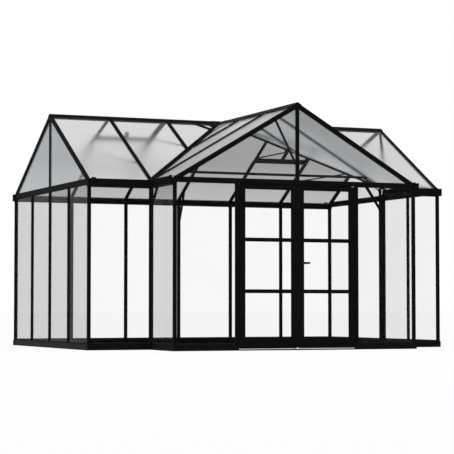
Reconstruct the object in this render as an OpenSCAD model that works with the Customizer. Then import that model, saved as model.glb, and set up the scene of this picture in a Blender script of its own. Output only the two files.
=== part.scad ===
// Glass greenhouse with a T-shaped plan, slender black glazing bars and double front doors.
// Sizes are in millimetres. X runs along the main ridge, -Y faces out of the doors, Z is up.

/* [Plan and heights] */
// Distance between the centre lines of neighbouring posts
bay = 740; // [640:10:860]
// Height of the base rails
base_h = 70; // [50:1:100]
// Height of the gutter beams' underside above the ground
eave_h = 1828; // [1700:1:2100]
// Height of a gutter beam from its underside to its lip
gutter_h = 88; // [80:1:100]
// Height of the roof glass over the wall line, above the gutter beams' underside
roof_lift = 72; // [64:1:80]
// Slope of every roof plane in degrees
pitch = 30.5; // [26:0.5:35]

/* [Base rails] */
// Width of a base rail across the wall
base_w = 44; // [38:1:60]
// Sheet thickness of a base rail
base_t = 4; // [3:0.5:6]
// Drop of the lip along a base rail's inner top edge
base_lip = 18; // [10:1:25]
// Diameter of the ground anchor holes in the foot flange
anchor_d = 9; // [6:0.5:12]

/* [Posts and bars] */
// Face width of wall posts, rafters and mullions
bar_w = 28; // [24:1:36]
// Depth of a wall post across the wall
bar_d = 30; // [24:1:34]
// Width of the square outer corner posts
corner_w = 34; // [30:1:40]
// Width of the square posts at the two inner corners
inner_w = 40; // [36:1:48]
// Face width of the door posts
door_post_w = 36; // [32:1:44]
// How far a rafter stands above the glass
bar_out = 12; // [8:1:16]
// How far a rafter reaches below the glass
bar_in = 20; // [16:1:28]
// How far a gable rafter reaches below the glass
gable_in = 30; // [24:1:40]
// Chamfer along the outer edges of the bars
edge = 2; // [1:0.5:3]
// Depth of a glazing slot
slot_d = 8; // [6:0.5:9]

/* [Glass] */
// Thickness of every pane
pane_t = 4; // [3:0.5:6]
// Clearance on each face of a pane in its slot
slack = 0.3; // [0.1:0.1:0.5]
// Clearance between a pane's edge and the bottom of its slot
edge_gap = 0.8; // [0.5:0.1:1]
// How far the roof panes reach out over the wall line
pane_over = 22; // [18:1:30]

/* [Gutters, beams and ridges] */
// How far a gutter stands out from the wall line
gutter_out = 62; // [54:1:80]
// Sheet thickness of a gutter
gutter_t = 3; // [2:0.5:5]
// Width of the inturned lip of a gutter
gutter_lip = 9; // [6:1:14]
// How far the solid part of a gutter beam reaches outside the wall line
beam_out = 18; // [16:1:24]
// How far the gutters run past the outer walls
eave_over = 30; // [20:1:50]
// Height of the tie beam across an end gable
beam_h = 57; // [46:1:70]
// Height of the header over the doors
header_h = 45; // [36:1:55]
// Width of the ridge beam
ridge_w = 28; // [22:1:36]
// Depth of the ridge beam below the meeting line of the roof planes
ridge_drop = 56; // [46:1:80]
// Reach of the ridge capping to each side
cap_half = 48; // [40:1:70]
// Thickness of the ridge capping
cap_t = 6; // [4:0.5:9]
// Length of the cover over the meeting of the ridges, to each side
cover_len = 140; // [100:5:220]
// Thickness of that cover
cover_t = 3; // [2:0.5:5]
// Reach of that cover to each side of a ridge line
cover_half = 90; // [60:1:120]

/* [Valleys] */
// Half the width of a valley channel
valley_half = 37; // [32:1:48]
// Sheet thickness of a valley channel
valley_t = 5; // [3:0.5:7]
// Depth of the flanges along a valley channel
valley_flange = 24; // [18:1:32]
// How far the roof panes lap over the edge of a valley channel
pane_lap = 14; // [8:1:20]

/* [Bracing] */
// Height of the collar tie's middle above the gutter beams' underside
collar_rise = 198; // [150:1:320]
// Height of the collar tie's bar
collar_h = 28; // [20:1:36]
// Thickness of the collar tie along the wing
collar_t = 24; // [16:1:28]
// Length of the collar tie's feet along the rafters, in plan
collar_foot = 130; // [80:5:160]
// Drop from the gutter beams' underside to the foot of the knee braces
brace_drop = 267; // [150:1:320]
// Reach of a knee brace from its post, in plan
brace_run = 258; // [160:1:280]
// Thickness of the knee braces
brace_w = 20; // [14:1:26]
// Height of the diagonal strut's foot above the gutter beams' underside
strut_rise = 232; // [160:1:370]
// Thickness of the diagonal strut
strut_t = 14; // [10:1:20]
// Distance of the long rafter ties in from the eaves, in plan
long_tie_in = 459; // [300:1:640]
// Distance of the short rafter ties above the feet of the jack rafters, in plan
short_tie_up = 110; // [60:1:300]
// Thickness of the rafter ties
tie_t = 14; // [10:1:20]

/* [Roof vents] */
// Length of a vent from its sill to the ridge, along the slope
vent_len = 766; // [600:1:900]
// Width of the sash bars
sash_w = 22; // [18:1:32]
// Thickness of the sash bars
sash_t = 22; // [16:1:30]
// Gap round a sash
sash_gap = 3; // [2:0.5:6]
// Length of a vent opener along the slope
stay_len = 210; // [140:5:260]
// Width of a vent opener
stay_w = 40; // [20:1:50]
// Thickness of a vent opener
stay_t = 20; // [12:1:30]

/* [Doors] */
// Height of the threshold
sill_h = 12; // [8:1:20]
// Width of the threshold across the wall
sill_w = 64; // [60:1:90]
// Gap under the door leaves
sill_gap = 16; // [8:1:22]
// Thickness of a door leaf
leaf_t = 34; // [30:1:40]
// Width of a door stile
stile_w = 70; // [56:1:84]
// Height of a door's top rail
top_rail_h = 45; // [36:1:60]
// Height of a door's bottom rail
bottom_rail_h = 97; // [70:1:120]
// Height of the glazing bars across a door
muntin_h = 28; // [20:1:36]
// Height of the lower glazing bar's middle
muntin_low = 657; // [600:1:720]
// Height of the upper glazing bar's middle
muntin_high = 1232; // [1160:1:1300]
// Gap between a door leaf and its post or header
leaf_gap = 6; // [5:0.5:10]
// Gap between the two door leaves
meet_gap = 8; // [7:0.5:12]

/* [Door hardware] */
// Height of a hinge
hinge_h = 80; // [60:1:120]
// Radius of a hinge barrel
knuckle_r = 7; // [6:0.5:9]
// Radius of a hinge pin
pin_r = 3; // [2:0.5:4]
// Radial clearance of the turning parts
run_gap = 0.08; // [0.05:0.01:0.1]
// Thickness of a hinge plate
plate_t = 3; // [2:0.5:4]
// Reach of a hinge plate from its pin
plate_w = 32; // [22:1:34]
// Distance of the outer hinges from the ends of a leaf
hinge_inset = 190; // [120:5:300]
// Height of the lever handle's spindle
lever_z = 976; // [900:1:1050]
// Length of a lever from its spindle
lever_len = 104; // [80:1:140]
// Reach of a lever from the face of the leaf
lever_out = 45; // [36:1:60]
// Radius of the lever's spindle
spindle_r = 7; // [5:0.5:9]
// Radius of the round plates behind the levers
rose_r = 22; // [16:1:28]
// Radius of the drop bolt's rod
bolt_r = 5; // [3:0.5:6]
// Length of the drop bolt's rod
bolt_len = 230; // [180:5:300]
// Height of the drop bolt's back plate
bolt_plate_h = 170; // [140:5:220]
// Height of the two guides of the drop bolt
bolt_guide = 20; // [14:1:30]
// Reach of the drop bolt's knob
bolt_knob = 22; // [14:1:30]
// Thickness of the drop bolt's back plate
bolt_plate = 2; // [1.5:0.5:3]

/* [Hidden] */
half_len = 3 * bay;
half_span = 2 * bay;
front_reach = leaf_t / 2 + lever_out;
y_wing = front_reach - (5 * bay + front_reach + gutter_out) / 2;
y_front = y_wing + bay;
y_ridge = y_front + half_span;
y_back = y_ridge + half_span;
roof_z = eave_h + roof_lift;
ridge_z = roof_z + half_span * tan(pitch);
slope_len = half_span / cos(pitch);
seat_z = roof_z - bar_in;
tie_z = roof_z - header_h;
gutter_z = eave_h + gutter_h;
slot_w = pane_t + 2 * slack;
beam_in = corner_w / 2 - slot_d;
ridge_half = ridge_w / 2;
cap_lift = bar_out / cos(pitch) + slack;
cap_rise = cap_t / cos(pitch);
seat_out = beam_out - 2;
valley_run = half_span * sqrt(2);
valley_tilt = atan(tan(pitch) / sqrt(2));
valley_fold = acos(cos(pitch) * cos(pitch)) / 2;
valley_top = -(pane_t / 2 + slack) / cos(valley_fold);
reach = 6 * bay;
pane_top = (half_span - ridge_half - edge_gap - pane_t / 2 * sin(pitch)) / cos(pitch);
sill_s = slope_len - vent_len;
sash_n = bar_out + slack;
sash_top = slope_len - (cap_half + sash_gap - sash_n * sin(pitch)) / cos(pitch);
sash_len = sash_top - sill_s + bar_w / 2;
collar_z = eave_h + collar_rise;
brace_z = eave_h - brace_drop;
strut_z = eave_h + strut_rise;
leaf_low = sill_h + sill_gap;
leaf_high = tie_z - leaf_gap;
leaf_edge = bay - door_post_w / 2 - leaf_gap;
hinge_x = leaf_edge + leaf_gap / 2;
hinge_y = y_wing - leaf_t / 2 - knuckle_r;
face_y = y_wing - leaf_t / 2;
knuckle_h = hinge_h / 3;
hinge_rows = [leaf_low + hinge_inset, (leaf_low + leaf_high) / 2, leaf_high - hinge_inset];
lever_x = meet_gap / 2 + stile_w / 2;
bolt_gap = 1.5;
bolt_y = y_wing + leaf_t / 2 + bolt_plate + bolt_gap + bolt_r;
bolt_z = leaf_low + bolt_guide;
black = [0.06, 0.06, 0.065];
clear = [0.85, 0.9, 0.92, 0.35];
frost = [0.8, 0.83, 0.84, 0.8];
$fn = 48;

// Distance from a post's centre line to the edge of the pane in its slot
function inset(w) = w / 2 - slot_d + edge_gap;

// Height of a gable rafter's underside at a distance in from the eave
function gable_under(i) = roof_z + i * tan(pitch) - gable_in / cos(pitch);

// Height of an inner rafter's underside at a distance in from the eave
function rafter_under(i) = roof_z + i * tan(pitch) - bar_in / cos(pitch);

// Both halves of the building, which is the same left and right
module both() {
    children();
    mirror([1, 0, 0]) children();
}

// A wall seen from inside: X along it, Y inwards from its centre line
module wall(x, y, turn) {
    translate([x, y, 0]) rotate([0, 0, turn]) children();
}

module front_wall() {
    wall(0, y_front, 0) children();
}

module back_wall() {
    wall(0, y_back, 180) children();
}

module wing_left_wall() {
    wall(-half_span, 0, -90) children();
}

module left_wall() {
    wall(-half_len, 0, -90) children();
}

// Roof plane that rises from a wall: X along the eave, Y up the slope, Z out of the roof
module slope() {
    translate([0, 0, roof_z]) rotate([pitch, 0, 0]) children();
}

// Extrudes a section along X, the section's X being Y and its Y being Z
module along_x(from, to) {
    translate([from, 0, 0]) rotate([90, 0, 90]) linear_extrude(to - from) children();
}

// Extrudes a section along Y, the section's Y being Z
module along_y(from, to) {
    translate([0, to, 0]) rotate([90, 0, 0]) linear_extrude(to - from) children();
}

// Section of a glazing bar with a slot for the glass on either side
module bar_2d(w, out, inside, left, right) {
    difference() {
        polygon([[-w / 2, -inside], [w / 2, -inside], [w / 2, out - edge], [w / 2 - edge, out],
            [-w / 2 + edge, out], [-w / 2, out - edge]]);
        if (left) {
            translate([-w / 2 - 1, -slot_w / 2]) square([slot_d + 1, slot_w]);
        }
        if (right) {
            translate([w / 2 - slot_d, -slot_w / 2]) square([slot_d + 1, slot_w]);
        }
    }
}

// Left part of the plan, on the main body's side of the valley
module main_side(gap) {
    translate([-half_span, y_front, 0]) rotate([0, 0, 45]) translate([-reach, gap, 0])
        cube([2 * reach, reach, 2 * ridge_z]);
}

// The same on the wing's side of the valley
module wing_side(gap) {
    translate([-half_span, y_front, 0]) rotate([0, 0, 45]) translate([-reach, -reach - gap, 0])
        cube([2 * reach, reach, 2 * ridge_z]);
}

// Section of a base rail: a folded channel that is open to the inside
module base_2d() {
    h = base_w / 2;
    polygon([[-h, 0], [h, 0], [h, base_t], [base_t - h, base_t], [base_t - h, base_h - base_t],
        [h - base_t, base_h - base_t], [h - base_t, base_h - base_lip], [h, base_h - base_lip],
        [h, base_h], [-h, base_h]]);
}

// Base rail along a wall with ground anchor holes at the listed places
module base_rail(from, to, anchors) {
    difference() {
        along_x(from, to) base_2d();
        for (a = anchors) {
            translate([a, base_t, -1]) cylinder(d = anchor_d, h = base_t + 2);
        }
    }
}

module back_base_rail() {
    color(black) back_wall()
        base_rail(-half_len - base_w / 2, half_len + base_w / 2, [-1.5 * bay, 1.5 * bay]);
}

module side_base_rails() {
    color(black) both() {
        left_wall() base_rail(-y_back + base_w / 2, -y_front - base_w / 2,
            [-y_ridge - 0.5 * bay, -y_ridge + 0.5 * bay]);
        wing_left_wall() base_rail(-y_front + base_w / 2, -y_wing - base_w / 2, [-y_wing - bay / 2]);
    }
}

module front_base_rails() {
    color(black) both() {
        front_wall() base_rail(-half_len - base_w / 2, -half_span + base_w / 2, [-2.5 * bay]);
        wall(0, y_wing, 0) base_rail(-half_span - base_w / 2, -bay + door_post_w / 2, [-1.5 * bay]);
    }
}

module door_threshold() {
    w = sill_w / 2;
    color(black) wall(0, y_wing, 0) along_x(-bay + door_post_w / 2, bay - door_post_w / 2)
        polygon([[-w - 6, 0], [w + 6, 0], [w, sill_h], [-w, sill_h]]);
}

// Square corner post with slots towards the two walls that meet in it
module corner_post(x, y, w, sx, sy) {
    translate([x, y, base_h]) linear_extrude(eave_h - base_h) difference() {
        square(w, center = true);
        translate([sx > 0 ? w / 2 - slot_d : -w / 2 - 1, -slot_w / 2]) square([slot_d + 1, slot_w]);
        translate([-slot_w / 2, sy > 0 ? w / 2 - slot_d : -w / 2 - 1]) square([slot_w, slot_d + 1]);
    }
}

module corner_posts() {
    color(black) both() {
        corner_post(-half_len, y_front, corner_w, 1, 1);
        corner_post(-half_len, y_back, corner_w, 1, -1);
        corner_post(-half_span, y_wing, corner_w, 1, 1);
        corner_post(-half_span, y_front, inner_w, -1, -1);
    }
}

// Upright bar in a wall
module post(u, w, low, high, left, right) {
    translate([u, 0, low]) linear_extrude(high - low) rotate(180)
        bar_2d(w, bar_d / 2, bar_d / 2, right, left);
}

module wall_posts() {
    color(black) {
        back_wall() for (k = [-2:2]) {
            post(k * bay, bar_w, base_h, eave_h, true, true);
        }
        both() left_wall() for (k = [1:3]) {
            post(-y_front - k * bay, bar_w, base_h, tie_z, true, true);
        }
    }
}

module door_posts() {
    color(black) both() wall(0, y_wing, 0)
        translate([-bay, 0, base_h]) linear_extrude(tie_z - base_h) rotate(180)
            bar_2d(door_post_w, leaf_t / 2, leaf_t / 2, false, true);
}

// Outline of a gutter beam's end
module gutter_end_2d() {
    polygon([[-gutter_out, eave_h + 4], [4 - gutter_out, eave_h], [beam_in, eave_h],
        [beam_in, seat_z], [-beam_out, seat_z], [gutter_lip - gutter_out, gutter_z],
        [-gutter_out, gutter_z]]);
}

// Section of a gutter beam: a solid rail on the wall line and a trough outside it
module gutter_2d() {
    t = gutter_t;
    o = -gutter_out;
    polygon([[o, eave_h + 4], [o + 4, eave_h], [beam_in, eave_h], [beam_in, seat_z],
        [-beam_out, seat_z], [-beam_out, eave_h + 2 * t], [o + t + 3, eave_h + 2 * t],
        [o + t, eave_h + 2 * t + 3], [o + t, gutter_z - t], [o + gutter_lip, gutter_z - t],
        [o + gutter_lip, gutter_z], [o, gutter_z]]);
}

// Gutter beam with an end plate at its start, at its finish, or at both
module gutter(from, to, start, finish) {
    along_x(from, to) gutter_2d();
    if (start) {
        along_x(from, from + gutter_t) gutter_end_2d();
    }
    if (finish) {
        along_x(to - gutter_t, to) gutter_end_2d();
    }
}

module back_gutter() {
    color(black) back_wall() gutter(-half_len - eave_over, half_len + eave_over, true, true);
}

module front_gutters() {
    color(black) both() intersection() {
        front_wall() gutter(-half_len - eave_over, -half_span + gutter_out, true, false);
        main_side(0);
    }
}

module wing_gutters() {
    color(black) both() intersection() {
        wing_left_wall() gutter(-y_front - gutter_out, -y_wing + eave_over, false, true);
        wing_side(0);
    }
}

// Section of a beam across a gable, with its outer edges chamfered
module beam_2d(h) {
    w = corner_w / 2;
    polygon([[edge - w, 0], [w, 0], [w, h], [edge - w, h], [-w, h - edge], [-w, edge]]);
}

// Slot for a roof pane's edge at the foot of a gable rafter
module pane_edge_slot() {
    slope() translate([-half_len + corner_w / 2 - slot_d, -pane_over, -slot_w / 2])
        cube([slot_d + 1, 2 * pane_over + beam_h, slot_w]);
}

module end_tie_beams() {
    color(black) both() difference() {
        left_wall() translate([0, 0, tie_z])
            along_x(-y_back + beam_in, -y_front - beam_in) beam_2d(beam_h);
        front_wall() pane_edge_slot();
        back_wall() mirror([1, 0, 0]) pane_edge_slot();
    }
}

module door_header() {
    color(black) wall(0, y_wing, 0) translate([0, 0, tie_z])
        along_x(-half_span + beam_in, half_span - beam_in) beam_2d(header_h);
}

// Section of a ridge: a deep bar with a sloping cap over the heads of the panes
module ridge_2d() {
    r = ridge_half;
    c = cap_half;
    low = cap_lift - c * tan(pitch);
    neck = cap_lift - r * tan(pitch);
    polygon([[-r, -ridge_drop], [r, -ridge_drop], [r, neck], [c, low], [c, low + cap_rise],
        [0, cap_lift + cap_rise], [-c, low + cap_rise], [-c, low], [-r, neck]]);
}

module main_ridge() {
    color(black) translate([0, y_ridge, ridge_z])
        along_x(-half_len - corner_w / 2, half_len + corner_w / 2) ridge_2d();
}

module wing_ridge() {
    low = cap_lift - cap_half * tan(pitch);
    color(black) translate([0, 0, ridge_z]) {
        along_y(y_wing - corner_w / 2, y_ridge - cap_half) ridge_2d();
        along_y(y_ridge - cap_half - 1, y_ridge - ridge_half) translate([-ridge_half, -ridge_drop])
            square([ridge_w, ridge_drop + low - slack]);
    }
}

// Space under and behind the front edge of the main ridge's cap
module cap_room() {
    low = cap_lift - cap_half * tan(pitch);
    neck = cap_lift - ridge_half * tan(pitch);
    translate([0, y_ridge, ridge_z]) along_x(-bay, bay)
        polygon([[-cap_half - slack, low - slack], [-ridge_half, neck - slack], [-ridge_half, neck + bay],
            [-cap_half - slack, neck + bay]]);
}

// Section of the sheet that covers a ridge cap
module cover_2d() {
    top = cap_lift + cap_rise;
    low = top - cover_half * tan(pitch);
    polygon([[-cover_half, low], [0, top], [cover_half, low], [cover_half, low + cover_t],
        [0, top + cover_t], [-cover_half, low + cover_t]]);
}

// Everything under that sheet
module under_cap_2d() {
    top = cap_lift + cap_rise;
    low = top - cover_half * tan(pitch);
    polygon([[-cover_half, -ridge_drop], [cover_half, -ridge_drop], [cover_half, low], [0, top],
        [-cover_half, low]]);
}

module ridge_joint_cover() {
    color(black) translate([0, 0, ridge_z]) difference() {
        union() {
            translate([0, y_ridge, 0]) along_x(-cover_len, cover_len) cover_2d();
            along_y(y_ridge - cap_half - cover_len, y_ridge) cover_2d();
        }
        translate([0, y_ridge, 0]) along_x(-2 * cover_len, 2 * cover_len) under_cap_2d();
        along_y(y_ridge - 2 * cover_len - cap_half, y_ridge) under_cap_2d();
    }
}

// Rafter on the roof plane above a wall, plumb cut at the eave and at the ridge
module rafter(u, w, inside, left, right) {
    intersection() {
        translate([u, 0, 0]) slope() along_y(-bay / 4, slope_len + bay / 4)
            bar_2d(w, bar_out, inside, left, right);
        translate([u - w, -seat_out, seat_z])
            cube([2 * w, half_span - ridge_half + seat_out, 2 * ridge_z]);
    }
}

// Space taken by the tie beams and the header under the gable rafters
module gable_beam_room() {
    both() translate([-half_len - corner_w, y_front + beam_in, tie_z])
        cube([2 * corner_w, 2 * (half_span - beam_in), beam_h]);
    translate([-half_span + beam_in, y_wing - corner_w, tie_z])
        cube([2 * (half_span - beam_in), 2 * corner_w, header_h]);
}

module gable_rafters() {
    color(black) difference() {
        union() {
            both() {
                front_wall() rafter(-half_len, corner_w, gable_in, false, true);
                wing_left_wall() rafter(-y_wing, corner_w, gable_in, true, false);
            }
            back_wall() both() rafter(-half_len, corner_w, gable_in, false, true);
        }
        gable_beam_room();
    }
}

module gable_mullions() {
    color(black) {
        both() left_wall() post(-y_ridge, bar_w, tie_z + beam_h, ridge_z - ridge_drop, true, true);
        wall(0, y_wing, 0) post(0, bar_w, tie_z + header_h, ridge_z - ridge_drop, true, true);
    }
}

module back_rafters() {
    color(black) back_wall() for (k = [-2:2]) {
        rafter(k * bay, bar_w, bar_in, true, true);
    }
}

module front_rafters() {
    color(black) both() intersection() {
        front_wall() for (k = [-2:-1]) {
            rafter(k * bay, bar_w, bar_in, true, true);
        }
        main_side(valley_half);
    }
}

module wing_rafters() {
    color(black) both() intersection() {
        wing_left_wall() for (k = [0:1]) {
            rafter(-y_front - k * bay, bar_w, bar_in, true, true);
        }
        wing_side(valley_half);
    }
}

// Section of a valley: a shallow V under both roof planes, with a flange along each edge
module valley_2d() {
    h = valley_half;
    t = valley_t;
    rise = h * tan(valley_fold);
    step = t * tan(valley_fold);
    low = valley_top + rise - valley_flange;
    polygon([[0, valley_top], [h, valley_top + rise], [h, low], [h - t, low],
        [h - t, valley_top + rise - step - t], [0, valley_top - t], [t - h, valley_top + rise - step - t],
        [t - h, low], [-h, low], [-h, valley_top + rise]]);
}

module valley_channels() {
    color(black) both() difference() {
        intersection() {
            translate([-half_span, y_front, roof_z]) rotate([0, 0, 45]) rotate([0, -valley_tilt, 0])
                along_x(-beam_out * 2, valley_run / cos(valley_tilt) + bay / 4) valley_2d();
            translate([-half_span - bay, y_front - bay, seat_z])
                cube([half_span + bay - ridge_half, half_span + bay - ridge_half, 2 * ridge_z]);
        }
        cap_room();
    }
}

// The collar tie runs between the wing rafters and has feet along their undersides
module collar_tie() {
    top = collar_z + collar_h / 2;
    low = collar_z - collar_h / 2;
    x_top = half_span - (top - rafter_under(0)) / tan(pitch);
    x_foot = x_top + collar_foot;
    z_foot = rafter_under(half_span - x_foot);
    drop = collar_h / 2;
    x_in = half_span - (low - rafter_under(0) + drop / cos(pitch)) / tan(pitch);
    z_in = rafter_under(half_span - x_foot) - drop / cos(pitch);
    color(black) translate([0, y_front, 0]) along_y(-collar_t / 2, collar_t / 2)
        polygon([[-x_foot, z_foot], [-x_foot, z_in], [-x_in, low], [x_in, low], [x_foot, z_in],
            [x_foot, z_foot], [x_top, top], [-x_top, top]]);
}

// Tie between a front rafter and the back rafter behind it, at a distance in from the eaves
module rafter_tie(k, i) {
    z = rafter_under(i);
    d = tie_t / tan(pitch) / 2;
    low = y_front + i - d;
    high = y_front + i + d;
    translate([k * bay, 0, 0]) rotate([0, 0, 90]) along_y(-tie_t / 2, tie_t / 2)
        polygon([[low, z - tie_t / 2], [2 * y_ridge - low, z - tie_t / 2],
            [2 * y_ridge - high, z + tie_t / 2], [high, z + tie_t / 2]]);
}

module rafter_ties() {
    color(black) both() {
        rafter_tie(-2, long_tie_in);
        rafter_tie(-1, bay + valley_half * sqrt(2) + short_tie_up);
    }
}

// Knee brace under a valley, in the upright plane through the valley's line
module valley_brace() {
    fall = (valley_t - valley_top) / cos(valley_tilt);
    up = tan(valley_tilt);
    rise = brace_w / 2 * tan(valley_fold);
    z0 = roof_z - fall + rise;
    w = brace_w * 1.6;
    difference() {
        translate([-half_span, y_front, 0]) rotate([0, 0, 45]) along_y(-brace_w / 2, brace_w / 2)
            polygon([[0, brace_z], [brace_run, z0 + up * brace_run - w], [brace_run, z0 + up * brace_run],
                [brace_run - w, z0 + up * (brace_run - w)], [0, brace_z + 1.4 * w]]);
        translate([-half_span - inner_w / 2, y_front - inner_w / 2, 0])
            cube([inner_w, inner_w, eave_h]);
        translate([-half_span, y_front, roof_z]) rotate([0, 0, 45]) rotate([0, -valley_tilt, 0])
            along_x(0, valley_run / 2) valley_2d();
    }
}

// Knee brace between the middle back post and its rafter
module back_brace() {
    w = brace_w * 1.6;
    run = bar_d / 2 + brace_run / sqrt(2);
    back_wall() rotate([0, 0, 90]) along_y(-brace_w / 2, brace_w / 2)
        polygon([[bar_d / 2, brace_z], [run, rafter_under(run) - w], [run, rafter_under(run)],
            [run - w, rafter_under(run - w)], [bar_d / 2, brace_z + 1.4 * w]]);
}

// Thin diagonal from the front gable mullion up to the wing ridge
module ridge_strut() {
    y0 = y_wing + bar_d / 2;
    z1 = ridge_z - ridge_drop;
    w = strut_t * sqrt(2);
    rotate([0, 0, 90]) along_y(-strut_t / 2, strut_t / 2)
        polygon([[y0, strut_z], [y0 + z1 - strut_z, z1], [y0 + z1 - strut_z - w, z1], [y0, strut_z + w]]);
}

module roof_braces() {
    color(black) {
        both() valley_brace();
        back_brace();
        ridge_strut();
    }
}

// Both vent bays of the back slope
module vent_bays() {
    back_wall() slope() for (k = [-1.5, 1.5]) {
        translate([k * bay, 0, 0]) children();
    }
}

module vent_sills() {
    color(black) vent_bays() translate([0, sill_s, 0])
        along_x(-bay / 2 + bar_w / 2, bay / 2 - bar_w / 2) bar_2d(bar_w, bar_out, bar_in, true, false);
}

// A closed sash's own plane, from the lower edge of the ridge capping down the slope
module sash_plane() {
    vent_bays() translate([0, sash_top, sash_n]) children();
}

module vent_sashes() {
    w = bay - 2 * sash_gap;
    d = sash_w - slot_d;
    color(black) sash_plane() difference() {
        translate([-w / 2, -sash_len, 0]) cube([w, sash_len, sash_t]);
        translate([sash_w - w / 2, sash_w - sash_len, -1])
            cube([w - 2 * sash_w, sash_len - 2 * sash_w, sash_t + 2]);
        translate([d - w / 2, d - sash_len, (sash_t - slot_w) / 2])
            cube([w - 2 * d, sash_len - 2 * d, slot_w]);
    }
}

module vent_panes() {
    d = sash_w - slot_d + edge_gap;
    w = bay - 2 * sash_gap - 2 * d;
    color(frost) sash_plane() translate([-w / 2, d - sash_len, (sash_t - pane_t) / 2])
        cube([w, sash_len - 2 * d, pane_t]);
}

// Vent opener: an arm from the sill up the slope, with a lug under the sash's pane
module vent_stays() {
    low = sill_s + bar_w / 2;
    high = low + stay_len;
    under = sash_n + (sash_t - pane_t) / 2;
    color(black) vent_bays() along_x(-stay_w / 2, stay_w / 2)
        polygon([[low, -bar_in], [high, -bar_in], [high, under], [high - bar_w, under],
            [high - bar_w, stay_t - bar_in], [low, stay_t - bar_in]]);
}

// Upright pane between two posts of given widths
module wall_pane(u0, w0, u1, w1, high) {
    translate([u0 + inset(w0), -pane_t / 2, base_h])
        cube([u1 - u0 - inset(w0) - inset(w1), pane_t, high - base_h - slack]);
}

module back_wall_panes() {
    color(clear) back_wall() for (k = [-3:2]) {
        wall_pane(k * bay, k == -3 ? corner_w : bar_w, (k + 1) * bay, k == 2 ? corner_w : bar_w, eave_h);
    }
}

module end_wall_panes() {
    color(clear) both() left_wall() for (k = [0:3]) {
        wall_pane(-y_back + k * bay, k == 0 ? corner_w : bar_w, -y_back + (k + 1) * bay,
            k == 3 ? corner_w : bar_w, tie_z);
    }
}

module front_wall_panes() {
    color(clear) both() {
        front_wall() wall_pane(-half_len, corner_w, -half_span, inner_w, eave_h);
        wing_left_wall() wall_pane(-y_front, inner_w, -y_wing, corner_w, eave_h);
        wall(0, y_wing, 0) wall_pane(-half_span, corner_w, -bay, door_post_w, tie_z);
    }
}

// Triangular pane between a gable's beam, its middle mullion and one rafter
module gable_pane(low) {
    x0 = inset(bar_w);
    x1 = ridge_half + edge_gap;
    top = ridge_z - ridge_drop - edge_gap;
    tip = half_span - (low + edge_gap - gable_under(0)) / tan(pitch);
    along_y(-pane_t / 2, pane_t / 2)
        polygon([[-x0, low], [-x0, top], [-x1, top], [-x1, gable_under(half_span - x1) - edge_gap],
            [-tip, low]]);
}

module gable_panes() {
    color(clear) {
        both() left_wall() translate([-y_ridge, 0, 0]) both() gable_pane(tie_z + beam_h);
        wall(0, y_wing, 0) both() gable_pane(tie_z + header_h);
    }
}

// Roof pane between two rafters of given widths, up to a height along the slope
module roof_pane(u0, w0, u1, w1, top) {
    slope() translate([u0 + inset(w0), -pane_over, -pane_t / 2])
        cube([u1 - u0 - inset(w0) - inset(w1), top + pane_over, pane_t]);
}

module back_roof_panes() {
    sill_top = sill_s - inset(bar_w);
    color(frost) back_wall() both() {
        roof_pane(-3 * bay, corner_w, -2 * bay, bar_w, pane_top);
        roof_pane(-2 * bay, bar_w, -bay, bar_w, sill_top);
        roof_pane(-bay, bar_w, 0, bar_w, pane_top);
    }
}

module front_roof_panes() {
    w = 2 * (ridge_half + slot_d);
    color(frost) both() intersection() {
        front_wall() {
            roof_pane(-3 * bay, corner_w, -2 * bay, bar_w, pane_top);
            roof_pane(-2 * bay, bar_w, -bay, bar_w, pane_top);
            roof_pane(-bay, bar_w, 0, w, pane_top);
        }
        main_side(valley_half - pane_lap);
    }
}

module wing_roof_panes() {
    w = 2 * (cap_half + slot_d);
    color(frost) both() intersection() {
        wing_left_wall() {
            roof_pane(-y_front, bar_w, -y_wing, corner_w, pane_top);
            roof_pane(-y_front - bay, bar_w, -y_front, bar_w, pane_top);
            roof_pane(-y_ridge, w, -y_front - bay, bar_w, pane_top);
        }
        wing_side(valley_half - pane_lap);
    }
}

// One third of a hinge barrel with the web that joins it to its plate
module knuckle(z, side, h) {
    translate([0, 0, z]) cylinder(r = knuckle_r, h = h);
    translate([side > 0 ? 0 : -knuckle_r - 2, knuckle_r - plate_t, z]) cube([knuckle_r + 2, plate_t, h]);
}

// Left door's hinge line
module left_hinges() {
    for (z = hinge_rows) {
        translate([-hinge_x, hinge_y, z - hinge_h / 2]) children();
    }
}

module hinge_pins() {
    color(black) both() left_hinges() {
        knuckle(0, -1, knuckle_h);
        knuckle(2 * knuckle_h, -1, knuckle_h);
        translate([0, 0, 1]) cylinder(r = pin_r, h = hinge_h - 2);
        translate([-plate_w, knuckle_r - plate_t, 0]) cube([plate_w - knuckle_r - 1, plate_t, hinge_h]);
    }
}

module door_hinges() {
    left_hinges() difference() {
        union() {
            knuckle(knuckle_h + 0.5, 1, knuckle_h - 1);
            translate([knuckle_r + 1, knuckle_r - plate_t, 0])
                cube([plate_w - knuckle_r - 1, plate_t, hinge_h]);
        }
        cylinder(r = pin_r + run_gap, h = hinge_h);
    }
}

module left_door_hinges() {
    color(black) door_hinges();
}

module right_door_hinges() {
    color(black) mirror([1, 0, 0]) door_hinges();
}

// Section of a door stile or rail with a slot for the glass in one or both edges
module leaf_2d(w, left, right) {
    bar_2d(w, leaf_t / 2, leaf_t / 2, left, right);
}

module door_stiles() {
    for (s = [0, 1]) {
        translate([s == 0 ? -leaf_edge + stile_w / 2 : -meet_gap / 2 - stile_w / 2, y_wing, leaf_low])
            linear_extrude(leaf_high - leaf_low) rotate(180) leaf_2d(stile_w, s == 0, s == 1);
    }
}

// Door rail of a given height around a middle line
module door_rail(z, h, below, above) {
    translate([0, y_wing, z]) along_x(-leaf_edge + stile_w, -meet_gap / 2 - stile_w)
        rotate(90) leaf_2d(h, below, above);
}

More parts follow.
